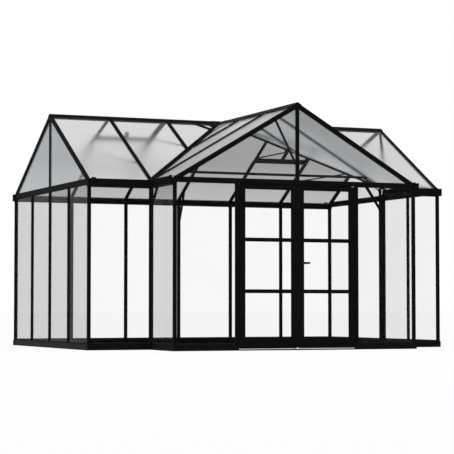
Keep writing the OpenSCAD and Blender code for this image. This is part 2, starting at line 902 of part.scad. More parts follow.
module door_rails() {
    door_rail(leaf_low + bottom_rail_h / 2, bottom_rail_h, false, true);
    door_rail(muntin_low, muntin_h, true, true);
    door_rail(muntin_high, muntin_h, true, true);
    door_rail(leaf_high - top_rail_h / 2, top_rail_h, true, false);
}

// Door pane that stands in the slots of two stiles and two rails
module door_pane(low, high) {
    d = slot_d - edge_gap;
    x0 = -leaf_edge + stile_w - d;
    x1 = -meet_gap / 2 - stile_w + d;
    translate([x0, y_wing - pane_t / 2, low - d]) cube([x1 - x0, pane_t, high - low + 2 * d]);
}

module door_panes() {
    door_pane(leaf_low + bottom_rail_h, muntin_low - muntin_h / 2);
    door_pane(muntin_low + muntin_h / 2, muntin_high - muntin_h / 2);
    door_pane(muntin_high + muntin_h / 2, leaf_high - top_rail_h);
}

module left_door_stiles() {
    color(black) door_stiles();
}

module left_door_rails() {
    color(black) door_rails();
}

module left_door_panes() {
    color(clear) door_panes();
}

// Drop bolt on the inner face of the left leaf, just clear of the threshold
module left_door_bolt() {
    x = -meet_gap / 2 - stile_w / 3;
    y = y_wing + leaf_t / 2;
    w = 2 * (bolt_y - y - bolt_r) + 2 * bolt_r;
    color(black) {
        translate([x, bolt_y, sill_h + bolt_gap]) cylinder(r = bolt_r, h = bolt_len);
        translate([x - w, y, bolt_z]) cube([2 * w, bolt_plate, bolt_plate_h]);
        for (z = [bolt_guide / 2, bolt_plate_h - 1.5 * bolt_guide]) {
            translate([x - w / 2, y, bolt_z + z]) cube([w, w, bolt_guide]);
        }
        translate([x, bolt_y, bolt_z + bolt_plate_h / 2]) rotate([-90, 0, 0])
            cylinder(r = 0.8 * bolt_r, h = bolt_knob);
    }
}

module right_door_stiles() {
    color(black) difference() {
        mirror([1, 0, 0]) door_stiles();
        translate([lever_x, y_wing + leaf_t, lever_z]) rotate([90, 0, 0])
            cylinder(r = spindle_r + run_gap, h = 2 * leaf_t);
    }
}

module right_door_rails() {
    color(black) mirror([1, 0, 0]) door_rails();
}

module right_door_panes() {
    color(clear) mirror([1, 0, 0]) door_panes();
}

// Both faces of the right leaf at the lever's spindle, the second one turned to the inside
module lever_faces() {
    translate([lever_x, y_wing, lever_z]) {
        translate([0, -leaf_t / 2, 0]) rotate([90, 0, 0]) children();
        translate([0, leaf_t / 2, 0]) mirror([0, 1, 0]) rotate([90, 0, 0]) children();
    }
}

module handle_roses() {
    color(black) lever_faces() difference() {
        cylinder(r1 = rose_r, r2 = rose_r - 3, h = 8);
        translate([0, 0, -1]) cylinder(r = spindle_r + run_gap, h = 10);
    }
}

// One lever: a neck out of the leaf and a flat grip with a round end
module lever() {
    w = 1.3 * spindle_r;
    t = 10;
    cylinder(r = spindle_r, h = lever_out);
    translate([0, 0, lever_out - t]) {
        cylinder(r = w, h = t);
        translate([0, -w, 0]) cube([lever_len - w, 2 * w, t]);
        translate([lever_len - w, 0, 0]) cylinder(r = w, h = t);
    }
}

module door_handle() {
    color(black) {
        lever_faces() lever();
        translate([lever_x, y_wing + leaf_t / 2 + 1, lever_z]) rotate([90, 0, 0])
            cylinder(r = spindle_r, h = leaf_t + 2);
    }
}

back_base_rail();
side_base_rails();
front_base_rails();
door_threshold();
corner_posts();
wall_posts();
door_posts();
back_gutter();
front_gutters();
wing_gutters();
end_tie_beams();
door_header();
main_ridge();
wing_ridge();
ridge_joint_cover();
gable_rafters();
gable_mullions();
back_rafters();
front_rafters();
wing_rafters();
valley_channels();
collar_tie();
rafter_ties();
roof_braces();
vent_sills();
vent_sashes();
vent_panes();
vent_stays();
back_wall_panes();
end_wall_panes();
front_wall_panes();
gable_panes();
back_roof_panes();
front_roof_panes();
wing_roof_panes();
hinge_pins();
left_door_stiles();
left_door_rails();
left_door_panes();
left_door_hinges();
left_door_bolt();
right_door_stiles();
right_door_rails();
right_door_panes();
right_door_hinges();
handle_roses();
door_handle();
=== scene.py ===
"""Looks of a T-plan glass greenhouse with black glazing bars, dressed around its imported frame."""

import logging
import math
from dataclasses import dataclass
from enum import Enum

import bmesh
import bpy
from mathutils import Matrix, Vector


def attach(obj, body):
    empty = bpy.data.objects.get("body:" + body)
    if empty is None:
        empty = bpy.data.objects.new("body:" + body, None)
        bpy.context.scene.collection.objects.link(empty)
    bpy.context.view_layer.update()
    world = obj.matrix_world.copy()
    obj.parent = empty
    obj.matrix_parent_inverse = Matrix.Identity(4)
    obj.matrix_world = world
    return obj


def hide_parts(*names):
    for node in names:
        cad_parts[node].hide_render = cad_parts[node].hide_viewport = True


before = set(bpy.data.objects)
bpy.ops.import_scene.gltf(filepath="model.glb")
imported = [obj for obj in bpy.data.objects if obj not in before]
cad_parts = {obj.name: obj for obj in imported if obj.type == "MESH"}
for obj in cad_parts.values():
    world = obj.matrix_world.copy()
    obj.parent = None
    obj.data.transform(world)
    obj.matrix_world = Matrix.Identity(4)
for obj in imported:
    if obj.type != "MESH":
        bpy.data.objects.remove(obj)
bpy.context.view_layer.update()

LOG = logging.getLogger("greenhouse")
FLOAT, VECTOR, COLOUR = "NodeSocketFloat", "NodeSocketVector", "NodeSocketColor"
X_WAY, Y_WAY, Z_WAY = Vector((1.0, 0.0, 0.0)), Vector((0.0, 1.0, 0.0)), Vector((0.0, 0.0, 1.0))
BOTH = (-1.0, 1.0)

Colour = tuple[float, float, float]
Point = tuple[float, float, float]
Pairs = tuple[tuple[float, float], ...]
Material = bpy.types.Material
Node = bpy.types.Node
Socket = bpy.types.NodeSocket
Sockets = bpy.types.bpy_prop_collection
Tree = bpy.types.NodeTree


class Body(str, Enum):
    """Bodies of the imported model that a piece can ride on."""

    HOUSE = "greenhouse"
    LEFT_LEAF = "left_door"
    RIGHT_LEAF = "right_door"
    LEVER = "lever"


class Side(Enum):
    """The two mirrored halves of the building, as the sign of X."""

    LEFT = -1
    RIGHT = 1


@dataclass(frozen=True)
class Plan:
    """Main sizes of the frame in metres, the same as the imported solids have."""

    bay: float = 0.74
    half_len: float = 2.22
    half_span: float = 1.48
    y_wing: float = -1.85
    y_front: float = -1.11
    y_ridge: float = 0.37
    y_back: float = 1.85
    base_h: float = 0.070
    eave_h: float = 1.828
    tie_z: float = 1.855
    beam_h: float = 0.057
    header_h: float = 0.045
    roof_z: float = 1.900
    pitch: float = math.radians(30.5)
    bar_w: float = 0.028
    corner_w: float = 0.034
    inner_w: float = 0.040
    door_post_w: float = 0.036
    bar_out: float = 0.012
    bar_in: float = 0.020
    gable_in: float = 0.030
    ridge_drop: float = 0.056
    pane_t: float = 0.004
    leaf_low: float = 0.028
    leaf_high: float = 1.849
    leaf_edge: float = 0.716
    leaf_t: float = 0.034
    meet_gap: float = 0.008

    def rise(self, run: float) -> float:
        """Height of the roof glass above the wall line at a distance in from it."""
        return self.roof_z + run * math.tan(self.pitch)

    @property
    def ridge_z(self) -> float:
        """Height of the meeting line of the roof glass."""
        return self.rise(self.half_span)


PLAN = Plan()


# ---------------------------------------------------------------- node tools


class NodeSheet:
    """A node tree with short calls that place nodes and join them."""

    def __init__(self, tree: Tree) -> None:
        """Keeps the tree and empties it."""
        self.tree = tree
        tree.nodes.clear()

    def add(self, kind: str, **settings: object) -> Node:
        """Places a node.

        Args:
            kind: Blender's name of the node type.
            settings: Properties of the node.

        Returns:
            The new node.
        """
        node = self.tree.nodes.new(kind)
        for name, value in settings.items():
            setattr(node, name, value)
        return node

    def feed(self, socket: Socket, value: object) -> None:
        """Joins an output to a socket, or sets a plain value on it.

        Args:
            socket: The socket that is fed.
            value: An output, a number or a colour.
        """
        if isinstance(value, Socket):
            self.tree.links.new(value, socket)
        elif isinstance(value, tuple) and len(value) == 3 and socket.type == "RGBA":
            socket.default_value = (*value, 1.0)
        else:
            socket.default_value = value

    def fed(self, node: Node, *values: object) -> Node:
        """Feeds the first sockets of a node in their order.

        Args:
            node: The node that is fed.
            values: Outputs, numbers or colours.

        Returns:
            The same node.
        """
        for socket, value in zip(node.inputs, values):
            self.feed(socket, value)
        return node

    def math(self, operation: str, first: object, second: object, clamp: bool = False) -> Socket:
        """Works out one sum of two numbers, held between 0 and 1 if clamped, and returns its output."""
        node = self.add("ShaderNodeMath", operation=operation, use_clamp=clamp)
        return self.fed(node, first, second).outputs[0]

    def vectors(self, operation: str, first: object, second: object) -> Node:
        """Works out one sum of two vectors and returns its node."""
        return self.fed(self.add("ShaderNodeVectorMath", operation=operation), first, second)

    def parts(self, vector: Socket) -> Sockets:
        """Splits a vector and returns its X, Y and Z outputs."""
        return self.fed(self.add("ShaderNodeSeparateXYZ"), vector).outputs

    def mixed(self, share: object, first: Socket, second: Socket) -> Socket:
        """Mixes two shaders by a share and returns the mixed shader's output."""
        return self.fed(self.add("ShaderNodeMixShader"), share, first, second).outputs[0]

    def blend(self, share: object, first: object, second: object) -> Socket:
        """Mixes two colours.

        Args:
            share: Share of the second colour.
            first: A colour or an output.
            second: A colour or an output.

        Returns:
            The mixed colour's output.
        """
        node = self.add("ShaderNodeMix", data_type="RGBA")
        self.feed(node.inputs["Factor"], share)
        self.feed(node.inputs[6], first)
        self.feed(node.inputs[7], second)
        return node.outputs[2]

    def span(
        self, value: object, low: object, high: object, to_low: object = 0.0, to_high: object = 1.0
    ) -> Socket:
        """Maps a value from one range to another, held at its ends, and returns the output."""
        return self.fed(self.add("ShaderNodeMapRange"), value, low, high, to_low, to_high).outputs[0]

    def noise(self, where: Socket, scale: object, detail: float) -> Socket:
        """Places a noise pattern.

        Args:
            where: Coordinate that it lies on.
            scale: Its scale, a number or an output.
            detail: Steps of finer noise in it.

        Returns:
            The pattern's value.
        """
        node = self.add("ShaderNodeTexNoise")
        self.feed(node.inputs["Vector"], where)
        self.feed(node.inputs["Scale"], scale)
        node.inputs["Detail"].default_value = detail
        return node.outputs[0]

    def stretched(self, where: Socket, scale: Point) -> Socket:
        """Stretches a coordinate.

        Args:
            where: The coordinate.
            scale: Its new scale along each axis.

        Returns:
            The new coordinate.
        """
        node = self.add("ShaderNodeMapping")
        self.feed(node.inputs["Vector"], where)
        node.inputs["Scale"].default_value = scale
        return node.outputs[0]

    def bump(
        self, shader: Node, height: Socket, strength: float, depth: float, normal: Socket | None = None
    ) -> None:
        """Roughens the surface of a shader.

        Args:
            shader: The shader that takes the bump.
            height: Pattern of its height.
            strength: Share of the bump that shows.
            depth: Depth of the pattern in metres.
            normal: Normal to start from, if it isn't the mesh's own.
        """
        node = self.add("ShaderNodeBump")
        node.inputs["Strength"].default_value = strength
        node.inputs["Distance"].default_value = depth
        self.feed(node.inputs["Height"], height)
        if normal is not None:
            self.feed(node.inputs["Normal"], normal)
        self.feed(shader.inputs["Normal"], node.outputs[0])


class SurfaceEffects:
    """Shader node groups that several finishes share."""

    def __init__(self) -> None:
        """Builds every group once."""
        self.coat_grain = self._coat_grain()
        self.edge_rub = self._edge_rub()
        self.settled_dust = self._settled_dust()
        self.pane_film = self._pane_film()
        self.sheet_cloud_and_painted_light = self._sheet_cloud_and_painted_light()

    @staticmethod
    def _start(
        name: str, inputs: dict[str, object], outputs: dict[str, str]
    ) -> tuple[NodeSheet, Sockets, Sockets]:
        """Makes a group with named sockets.

        Args:
            name: Name of the group.
            inputs: Default of each input, a number or a colour.
            outputs: Socket type of each output.

        Returns:
            A sheet on the group, the values given to it and the sockets of its results.
        """
        group = bpy.data.node_groups.new(name, "ShaderNodeTree")
        for label, value in inputs.items():
            kind = COLOUR if isinstance(value, tuple) else FLOAT
            socket = group.interface.new_socket(label, in_out="INPUT", socket_type=kind)
            socket.default_value = (*value, 1.0) if isinstance(value, tuple) else value
        for label, kind in outputs.items():
            group.interface.new_socket(label, in_out="OUTPUT", socket_type=kind)
        sheet = NodeSheet(group)
        return sheet, sheet.add("NodeGroupInput").outputs, sheet.add("NodeGroupOutput").inputs

    def _coat_grain(self) -> Tree:
        """Fine orange-peel of a powder coat, with slow changes of sheen along the bars.

        Returns:
            The group.
        """
        sheet, given, out = self._start(
            "coat_grain",
            {"Roughness": 0.5, "Spread": 0.12, "Grain Scale": 900.0},
            {"Roughness": FLOAT, "Height": FLOAT, "Tone": FLOAT},
        )
        peel_share, slow_share, mean = 0.35, 0.65, 0.5
        where = sheet.add("ShaderNodeTexCoord").outputs["Object"]
        peel = sheet.noise(where, given["Grain Scale"], detail=2.0)
        slow = sheet.noise(where, scale=5.0, detail=4.0)
        both = sheet.math(
            "ADD", sheet.math("MULTIPLY", peel, peel_share), sheet.math("MULTIPLY", slow, slow_share)
        )
        change = sheet.math("MULTIPLY", sheet.math("SUBTRACT", both, mean), given["Spread"])
        sheet.feed(out["Roughness"], sheet.math("ADD", given["Roughness"], change))
        sheet.feed(out["Height"], peel)
        sheet.feed(out["Tone"], slow)
        return sheet.tree

    def _edge_rub(self) -> Tree:
        """Worn edges, found where a rounded normal leaves the flat one, broken up by noise.

        Returns:
            The group.
        """
        sheet, given, out = self._start("edge_rub", {"Amount": 0.5}, {"Mask": FLOAT, "Normal": VECTOR})
        edge_radius = 0.0016
        where = sheet.add("ShaderNodeTexCoord").outputs["Object"]
        rounded = sheet.fed(sheet.add("ShaderNodeBevel", samples=4), edge_radius).outputs[0]
        flat = sheet.add("ShaderNodeNewGeometry").outputs["Normal"]
        meet = sheet.vectors("DOT_PRODUCT", rounded, flat).outputs["Value"]
        worn = sheet.span(meet, low=0.99, high=0.80)
        patches = sheet.span(sheet.noise(where, scale=26.0, detail=5.0), low=0.46, high=0.70)
        rubbed = sheet.math("MULTIPLY", worn, patches)
        sheet.feed(out["Mask"], sheet.math("MULTIPLY", rubbed, given["Amount"], clamp=True))
        sheet.feed(out["Normal"], rounded)
        return sheet.tree

    def _settled_dust(self) -> Tree:
        """Dust on faces that look up, and splash marks low down.

        Returns:
            The group.
        """
        sheet, given, out = self._start("settled_dust", {"Amount": 0.3}, {"Mask": FLOAT})
        where = sheet.add("ShaderNodeTexCoord").outputs["Object"]
        looks = sheet.parts(sheet.add("ShaderNodeNewGeometry").outputs["Normal"])
        lying = sheet.span(looks["Z"], low=0.75, high=1.0)
        splash = sheet.span(sheet.parts(where)["Z"], low=0.0, high=0.16, to_low=0.55, to_high=0.0)
        spots = sheet.span(sheet.noise(where, scale=38.0, detail=6.0), low=0.42, high=0.72, to_low=0.1)
        dusty = sheet.math("MULTIPLY", sheet.math("MAXIMUM", lying, splash), spots)
        sheet.feed(out["Mask"], sheet.math("MULTIPLY", dusty, given["Amount"], clamp=True))
        return sheet.tree

    def _pane_film(self) -> Tree:
        """Faint rain streaks and haze on clear panes, and which way a pane's face looks.

        Returns:
            The group.
        """
        sheet, given, out = self._start(
            "pane_film", {"Amount": 0.02}, {"Film": FLOAT, "Outer": FLOAT, "Height": FLOAT}
        )
        streak_scale, in_plan = (42.0, 42.0, 1.6), (1.0, 1.0, 0.0)
        coords = sheet.add("ShaderNodeTexCoord").outputs
        where = coords["Object"]
        running = sheet.noise(sheet.stretched(where, streak_scale), scale=1.0, detail=4.0)
        streaks = sheet.span(running, low=0.52, high=0.78)
        haze = sheet.span(sheet.noise(where, scale=2.6, detail=3.0), low=0.4, high=0.75, to_high=0.6)
        film = sheet.math("MAXIMUM", streaks, haze)
        sheet.feed(out["Film"], sheet.math("MULTIPLY", film, given["Amount"]))
        flat = sheet.vectors("MULTIPLY", where, in_plan).outputs[0]
        away = sheet.vectors("DOT_PRODUCT", flat, coords["Normal"]).outputs["Value"]
        sheet.feed(out["Outer"], sheet.math("GREATER_THAN", away, 0.0))
        sheet.feed(out["Height"], sheet.noise(where, scale=3.5, detail=1.0))
        return sheet.tree

    def _sheet_cloud_and_painted_light(self) -> Tree:
        """Slow clouds in a frosted sheet, with painted light: a pale outer face as if lit, a greyer inner
        face as if shaded, and painted brightening towards the eave and over the deep part of the wing slope.

        Returns:
            The group.
        """
        sheet, given, out = self._start(
            "sheet_cloud_and_painted_light",
            {
                "Outer Colour": (0.5, 0.5, 0.5), "Inner Colour": (0.15, 0.15, 0.15),
                "Outer Eave": (0.5, 0.5, 0.5), "Inner Eave": (0.2, 0.2, 0.2), "Ridge Roughness": 0.2,
                "Eave Roughness": 0.6, "Eave Top": 2.32, "Clouding": 0.06, "Deep Lift": 0.0,
            },
            {"Colour": COLOUR, "Roughness": FLOAT, "Height": FLOAT},
        )
        eave_foot, mean, blur_spread = 1.93, 0.5, 0.06
        coords = sheet.add("ShaderNodeTexCoord").outputs
        where, place = coords["Object"], sheet.parts(coords["Object"])
        # Painted light: the outer face takes the lit outer colour, the inner face the shaded inner colour.
        outer = sheet.math("GREATER_THAN", sheet.parts(coords["Normal"])["Z"], 0.0)
        # Painted light: low down, towards the eave, both faces move to their brighter eave colours.
        low = sheet.span(place["Z"], eave_foot, given["Eave Top"], to_low=1.0, to_high=0.0)
        # Painted light: Deep Painted Light brightens the sheet from y = -1.45 back, fully from y = -1.10.
        deep = sheet.span(place["Y"], low=-1.45, high=-1.10)
        eave = sheet.math("ADD", low, sheet.math("MULTIPLY", deep, given["Deep Lift"]), clamp=True)
        face_colour_with_painted_light = sheet.blend(
            outer,
            sheet.blend(eave, given["Inner Colour"], given["Inner Eave"]),
            sheet.blend(eave, given["Outer Colour"], given["Outer Eave"]),
        )
        cloud = sheet.math("SUBTRACT", sheet.noise(where, scale=1.7, detail=3.0), mean)
        shade = sheet.math("ADD", sheet.math("MULTIPLY", cloud, given["Clouding"]), 1.0)
        scaled = sheet.add("ShaderNodeVectorMath", operation="SCALE")
        sheet.feed(scaled.inputs[0], face_colour_with_painted_light)
        sheet.feed(scaled.inputs["Scale"], shade)
        sheet.feed(out["Colour"], scaled.outputs[0])
        lift = sheet.span(place["Z"], low=2.22, high=2.60)
        slack = sheet.math("SUBTRACT", given["Ridge Roughness"], given["Eave Roughness"])
        blur = sheet.math("ADD", given["Eave Roughness"], sheet.math("MULTIPLY", lift, slack))
        uneven = sheet.math("MULTIPLY", cloud, blur_spread)
        sheet.feed(out["Roughness"], sheet.math("ADD", blur, uneven))
        sheet.feed(out["Height"], sheet.noise(where, scale=420.0, detail=2.0))
        return sheet.tree


# ---------------------------------------------------------------- finishes


def new_material(name: str) -> tuple[Material, NodeSheet, Node, Node]:
    """Starts a node material.

    Args:
        name: Name of the material.

    Returns:
        The material, a sheet on its tree, its Principled node and its output node.
    """
    material = bpy.data.materials.new(name)
    material.use_nodes = True
    sheet = NodeSheet(material.node_tree)
    shader = sheet.add("ShaderNodeBsdfPrincipled")
    output = sheet.add("ShaderNodeOutputMaterial")
    sheet.feed(output.inputs["Surface"], shader.outputs[0])
    return material, sheet, shader, output


def placed(sheet: NodeSheet, group: Tree, **values: object) -> Sockets:
    """Places a group in a material.

    Args:
        sheet: Sheet of the material.
        group: The group.
        values: Its inputs, with _ in a name standing for a space.

    Returns:
        The group's outputs.
    """
    node = sheet.add("ShaderNodeGroup", node_tree=group)
    for label, value in values.items():
        sheet.feed(node.inputs[label.replace("_", " ")], value)
    return node.outputs


@dataclass(frozen=True)
class CoatedMetal:
    """Painted, powder-coated or blackened metal."""

    name: str
    colour: Colour
    worn: Colour
    dust: Colour = (0.060, 0.058, 0.054)
    # under is painted light: faces that look down are turned to this paler colour, as if lit from below.
    under: Colour | None = None
    underside_light_from: float = -0.25
    underside_light_full: float = -0.35
    deep_share: float = 0.72
    roughness: float = 0.5
    spread: float = 0.2
    shine: float = 0.008
    grain: float = 900.0
    bump: float = 0.06
    bump_depth: float = 0.0004
    rub: float = 0.35
    dusting: float = 0.06
    dust_blur: float = 0.4
    metallic: float = 0.0

    def make(self, effects: SurfaceEffects) -> Material:
        """Builds the finish.

        Args:
            effects: The shared groups.

        Returns:
            The new material.
        """
        material, sheet, shader, _ = new_material(self.name)
        grain = placed(
            sheet, effects.coat_grain, Roughness=self.roughness, Spread=self.spread, Grain_Scale=self.grain
        )
        rub = placed(sheet, effects.edge_rub, Amount=self.rub)
        dust = placed(sheet, effects.settled_dust, Amount=self.dusting)["Mask"]
        deep = tuple(self.deep_share * part for part in self.colour)
        coat = sheet.blend(grain["Tone"], deep, self.colour)
        # Painted light: faces that look down take the paler under colour.
        if self.under is not None:
            looks = sheet.parts(sheet.add("ShaderNodeNewGeometry").outputs["Normal"])
            coat = sheet.blend(sheet.span(looks["Z"], self.underside_light_from, self.underside_light_full), coat, self.under)
        edged = sheet.blend(rub["Mask"], coat, self.worn)
        sheet.feed(shader.inputs["Base Color"], sheet.blend(dust, edged, self.dust))
        blur = sheet.math("MULTIPLY", dust, self.dust_blur)
        sheet.feed(shader.inputs["Roughness"], sheet.math("ADD", grain["Roughness"], blur, clamp=True))
        sheet.bump(shader, grain["Height"], self.bump, self.bump_depth, rub["Normal"])
        shader.inputs["Metallic"].default_value = self.metallic
        shader.inputs["Specular IOR Level"].default_value = self.shine
        return material


@dataclass(frozen=True)
class SealRubber:
    """Extruded black rubber of the glazing seals."""

    name: str
    colour: Colour
    dust: Colour = (0.09, 0.085, 0.08)
    fading: float = 1.8
    roughness: float = 0.78
    spread: float = 0.2
    shine: float = 0.12
    grain: float = 500.0
    bump: float = 0.12
    bump_depth: float = 0.0005
    dusting: float = 0.35

    def make(self, effects: SurfaceEffects) -> Material:
        """Builds the finish.

        Args:
            effects: The shared groups.

        Returns:
            The new material.
        """
        material, sheet, shader, _ = new_material(self.name)
        grain = placed(
            sheet, effects.coat_grain, Roughness=self.roughness, Spread=self.spread, Grain_Scale=self.grain
        )
        dust = placed(sheet, effects.settled_dust, Amount=self.dusting)["Mask"]
        faded = tuple(self.fading * part for part in self.colour)
        rubber = sheet.blend(grain["Tone"], self.colour, faded)
        sheet.feed(shader.inputs["Base Color"], sheet.blend(dust, rubber, self.dust))
        sheet.feed(shader.inputs["Roughness"], grain["Roughness"])
        sheet.bump(shader, grain["Height"], self.bump, self.bump_depth)
        shader.inputs["Specular IOR Level"].default_value = self.shine
        return material


@dataclass(frozen=True)
class ClearPane:
    """Clear glass that hides more of what is behind it when seen aslant from outside."""

    name: str
    # A pale veil colour is painted reflection of the sky, as on the gable glass's outer face; a dark one is
    # a tint.
    veil: Colour
    inner_veil: Colour
    film: Colour
    straight: float = 0.015
    aslant: float = 0.62
    aslant_power: float = 2.0
    inside: float = 0.22
    behind_sheet: float = 0.2
    streaks: float = 0.008
    roughness: float = 0.06
    shine: float = 0.12
    bump: float = 0.03
    bump_depth: float = 0.002

    def make(self, effects: SurfaceEffects) -> Material:
        """Builds the finish.

        Args:
            effects: The shared groups.

        Returns:
            The new material.
        """
        material, sheet, shader, _ = new_material(self.name)
        film = placed(sheet, effects.pane_film, Amount=self.streaks)
        facing = sheet.add("ShaderNodeLayerWeight").outputs["Facing"]
        slant = sheet.math("MULTIPLY", sheet.math("POWER", facing, self.aslant_power), self.aslant)
        side = sheet.span(film["Outer"], 0.0, 1.0, to_low=self.inside)
        seen = sheet.math("ADD", sheet.math("MULTIPLY", slant, side), self.straight)
        veil = sheet.math("ADD", seen, film["Film"], clamp=True)
        scattered = sheet.add("ShaderNodeLightPath").outputs["Is Transmission Ray"]
        kept = sheet.span(scattered, 0.0, 1.0, to_low=1.0, to_high=self.behind_sheet)
        sheet.feed(shader.inputs["Alpha"], sheet.math("MULTIPLY", veil, kept))
        # Each face's veil colour: on the wall glass a dark tint, on the gable glass's outer face a pale
        # painted reflection of the sky.
        tint_and_painted_sheen = sheet.blend(film["Outer"], self.inner_veil, self.veil)
        sheet.feed(shader.inputs["Base Color"], sheet.blend(film["Film"], tint_and_painted_sheen, self.film))
        shader.inputs["Roughness"].default_value = self.roughness
        shader.inputs["Specular IOR Level"].default_value = self.shine
        sheet.bump(shader, film["Height"], self.bump, self.bump_depth)
        return material


@dataclass(frozen=True)
class FrostedSheet:
    """Opal roof sheet that scatters what is behind it and lets lamps reach the room."""

    name: str
    # outer and inner are the faces' colours with painted light: the outer face paler as if lit, the inner
    # face greyer as if shaded.
    outer: Colour
    inner: Colour
    # The eave colours are painted light: brighter colours that the faces move to low down, towards the eave.
    outer_eave_painted_light: Colour
    inner_eave_painted_light: Colour
    ridge_roughness: float = 0.20
    eave_roughness: float = 0.52
    eave_top: float = 2.32
    # deep_painted_light is painted light that brightens the wing sheet from y = -1.45 back.
    deep_painted_light: float = 0.0
    clearness: float = 0.85
    bend: float = 1.10
    lamp_share: float = 0.85
    bump: float = 0.04
    bump_depth: float = 0.0006

    def make(self, effects: SurfaceEffects) -> Material:
        """Builds the finish.

        Args:
            effects: The shared groups.

        Returns:
            The new material.
        """
        material, sheet, shader, output = new_material(self.name)
        cloud = placed(
            sheet, effects.sheet_cloud_and_painted_light, Outer_Colour=self.outer, Inner_Colour=self.inner,
            Outer_Eave=self.outer_eave_painted_light, Inner_Eave=self.inner_eave_painted_light, Ridge_Roughness=self.ridge_roughness,
            Eave_Roughness=self.eave_roughness, Eave_Top=self.eave_top, Deep_Lift=self.deep_painted_light,
        )
        sheet.feed(shader.inputs["Base Color"], cloud["Colour"])
        sheet.feed(shader.inputs["Roughness"], cloud["Roughness"])
        shader.inputs["Transmission Weight"].default_value = self.clearness
        shader.inputs["IOR"].default_value = self.bend
        sheet.bump(shader, cloud["Height"], self.bump, self.bump_depth)
        ray = sheet.add("ShaderNodeLightPath").outputs
        into_room = sheet.math("MAXIMUM", ray["Is Shadow Ray"], ray["Is Diffuse Ray"])
        lamps = sheet.math("MULTIPLY", into_room, self.lamp_share)
        passed = sheet.math("MAXIMUM", lamps, ray["Is Transmission Ray"])
        clear = sheet.add("ShaderNodeBsdfTransparent").outputs[0]
        sheet.feed(output.inputs["Surface"], sheet.mixed(passed, shader.outputs[0], clear))
        return material


class Finishes:
    """Every finish of the building, made once."""

    def __init__(self) -> None:
        """Makes the shared groups and the materials."""
        effects = SurfaceEffects()
        black, rubbed = (0.0062, 0.0063, 0.0064), (0.016, 0.016, 0.017)
        self.coat = CoatedMetal("black_powder_coat", black, rubbed).make(effects)
        self.base_coat = CoatedMetal(
            "black_base_coat", (0.0066, 0.0069, 0.0070), (0.018, 0.018, 0.018), shine=0.018, roughness=0.46
        ).make(effects)
        self.lever = CoatedMetal(
            "black_lever", (0.0036, 0.0036, 0.0037), (0.03, 0.03, 0.03), roughness=0.34, shine=0.12,
            rub=0.6, dusting=0.05,
        ).make(effects)
        self.screw = CoatedMetal(
            "blackened_steel", (0.010, 0.010, 0.0105), (0.05, 0.05, 0.049), roughness=0.42, shine=0.08,
            metallic=0.35, rub=0.7,
        ).make(effects)
        # Painted light: pale grey on the wing rafters, which are black bars, as if lit from below; the same
        # grey is on the wing slopes' corner plates.
        self.painted_light_grey = CoatedMetal(
            "grey_bar_painted_light", (0.285, 0.300, 0.312), (0.310, 0.320, 0.328), roughness=0.55, shine=0.05,
            dusting=0.02,
        ).make(effects)
        # Painted light: the valley channels' downward faces are pale grey, as if lit from below, on black
        # coat.
        self.valley = CoatedMetal(
            "valley_channel_coat_painted_underside", black, rubbed, under=(0.22, 0.23, 0.24)
        ).make(effects)
        self.seal = SealRubber("seal_rubber", (0.0070, 0.0070, 0.0072)).make(effects)
        dark = (0.020, 0.024, 0.024)
        self.wall_glass = ClearPane("wall_glass", dark, dark, (0.5, 0.5, 0.48), aslant=0.41).make(effects)
        # Painted reflection: the gable glass's pale blue-grey outer veil stands for the sky mirrored in it,
        # on top of its real gloss; its inner veil is darker.
        self.gable_glass = ClearPane(
            "gable_glass", (0.50, 0.56, 0.59), (0.14, 0.15, 0.16), (0.6, 0.6, 0.58), straight=0.006,
            aslant=0.52, inside=1.25, shine=0.5,
        ).make(effects)
        # Painted light on both sheets: pale outer faces as if lit, greyer inner faces as if shaded, brighter
        # eaves, and on the wing sheet brightening from y = -1.45 back.
        self.roof_sheet = FrostedSheet(
            "roof_sheet", (0.538, 0.538, 0.538), (0.150, 0.150, 0.151), (0.610, 0.610, 0.610),
            (0.350, 0.350, 0.351),
        ).make(effects)
        self.wing_sheet = FrostedSheet(
            "wing_sheet", (0.455, 0.455, 0.457), (0.300, 0.315, 0.326), (0.455, 0.455, 0.457),
            (0.710, 0.732, 0.750), clearness=0.30, eave_top=2.50, deep_painted_light=0.28,
        ).make(effects)


# ---------------------------------------------------------------- mesh tools


@dataclass(frozen=True)
class Section:
    """Cross-section of a straight bar: its width, its thickness, and the bevel along its edges."""

    wide: float
    thick: float
    edge: float
    steps: int = 1


@dataclass(frozen=True)
class HeadShape:
    """Form of bolt and screw heads: sinks, tops and seats in metres, the rest as shares of their size."""

    washer_sink: float = 0.0004
    washer_top: float = 0.0014
    washer_r: float = 1.25
    washer_sides: int = 14
    hex_seat: float = 0.0012
    hex_h: float = 0.62
    hex_r: float = 0.92
    hex_edge: float = 0.14
    hex_sides: int = 6
    screw_sink: float = 0.0003
    screw_h: float = 0.62
    screw_narrow: float = 0.74
    screw_sides: int = 10
    socket_in: float = 0.28
    socket_deep: float = 0.26


HEAD = HeadShape()


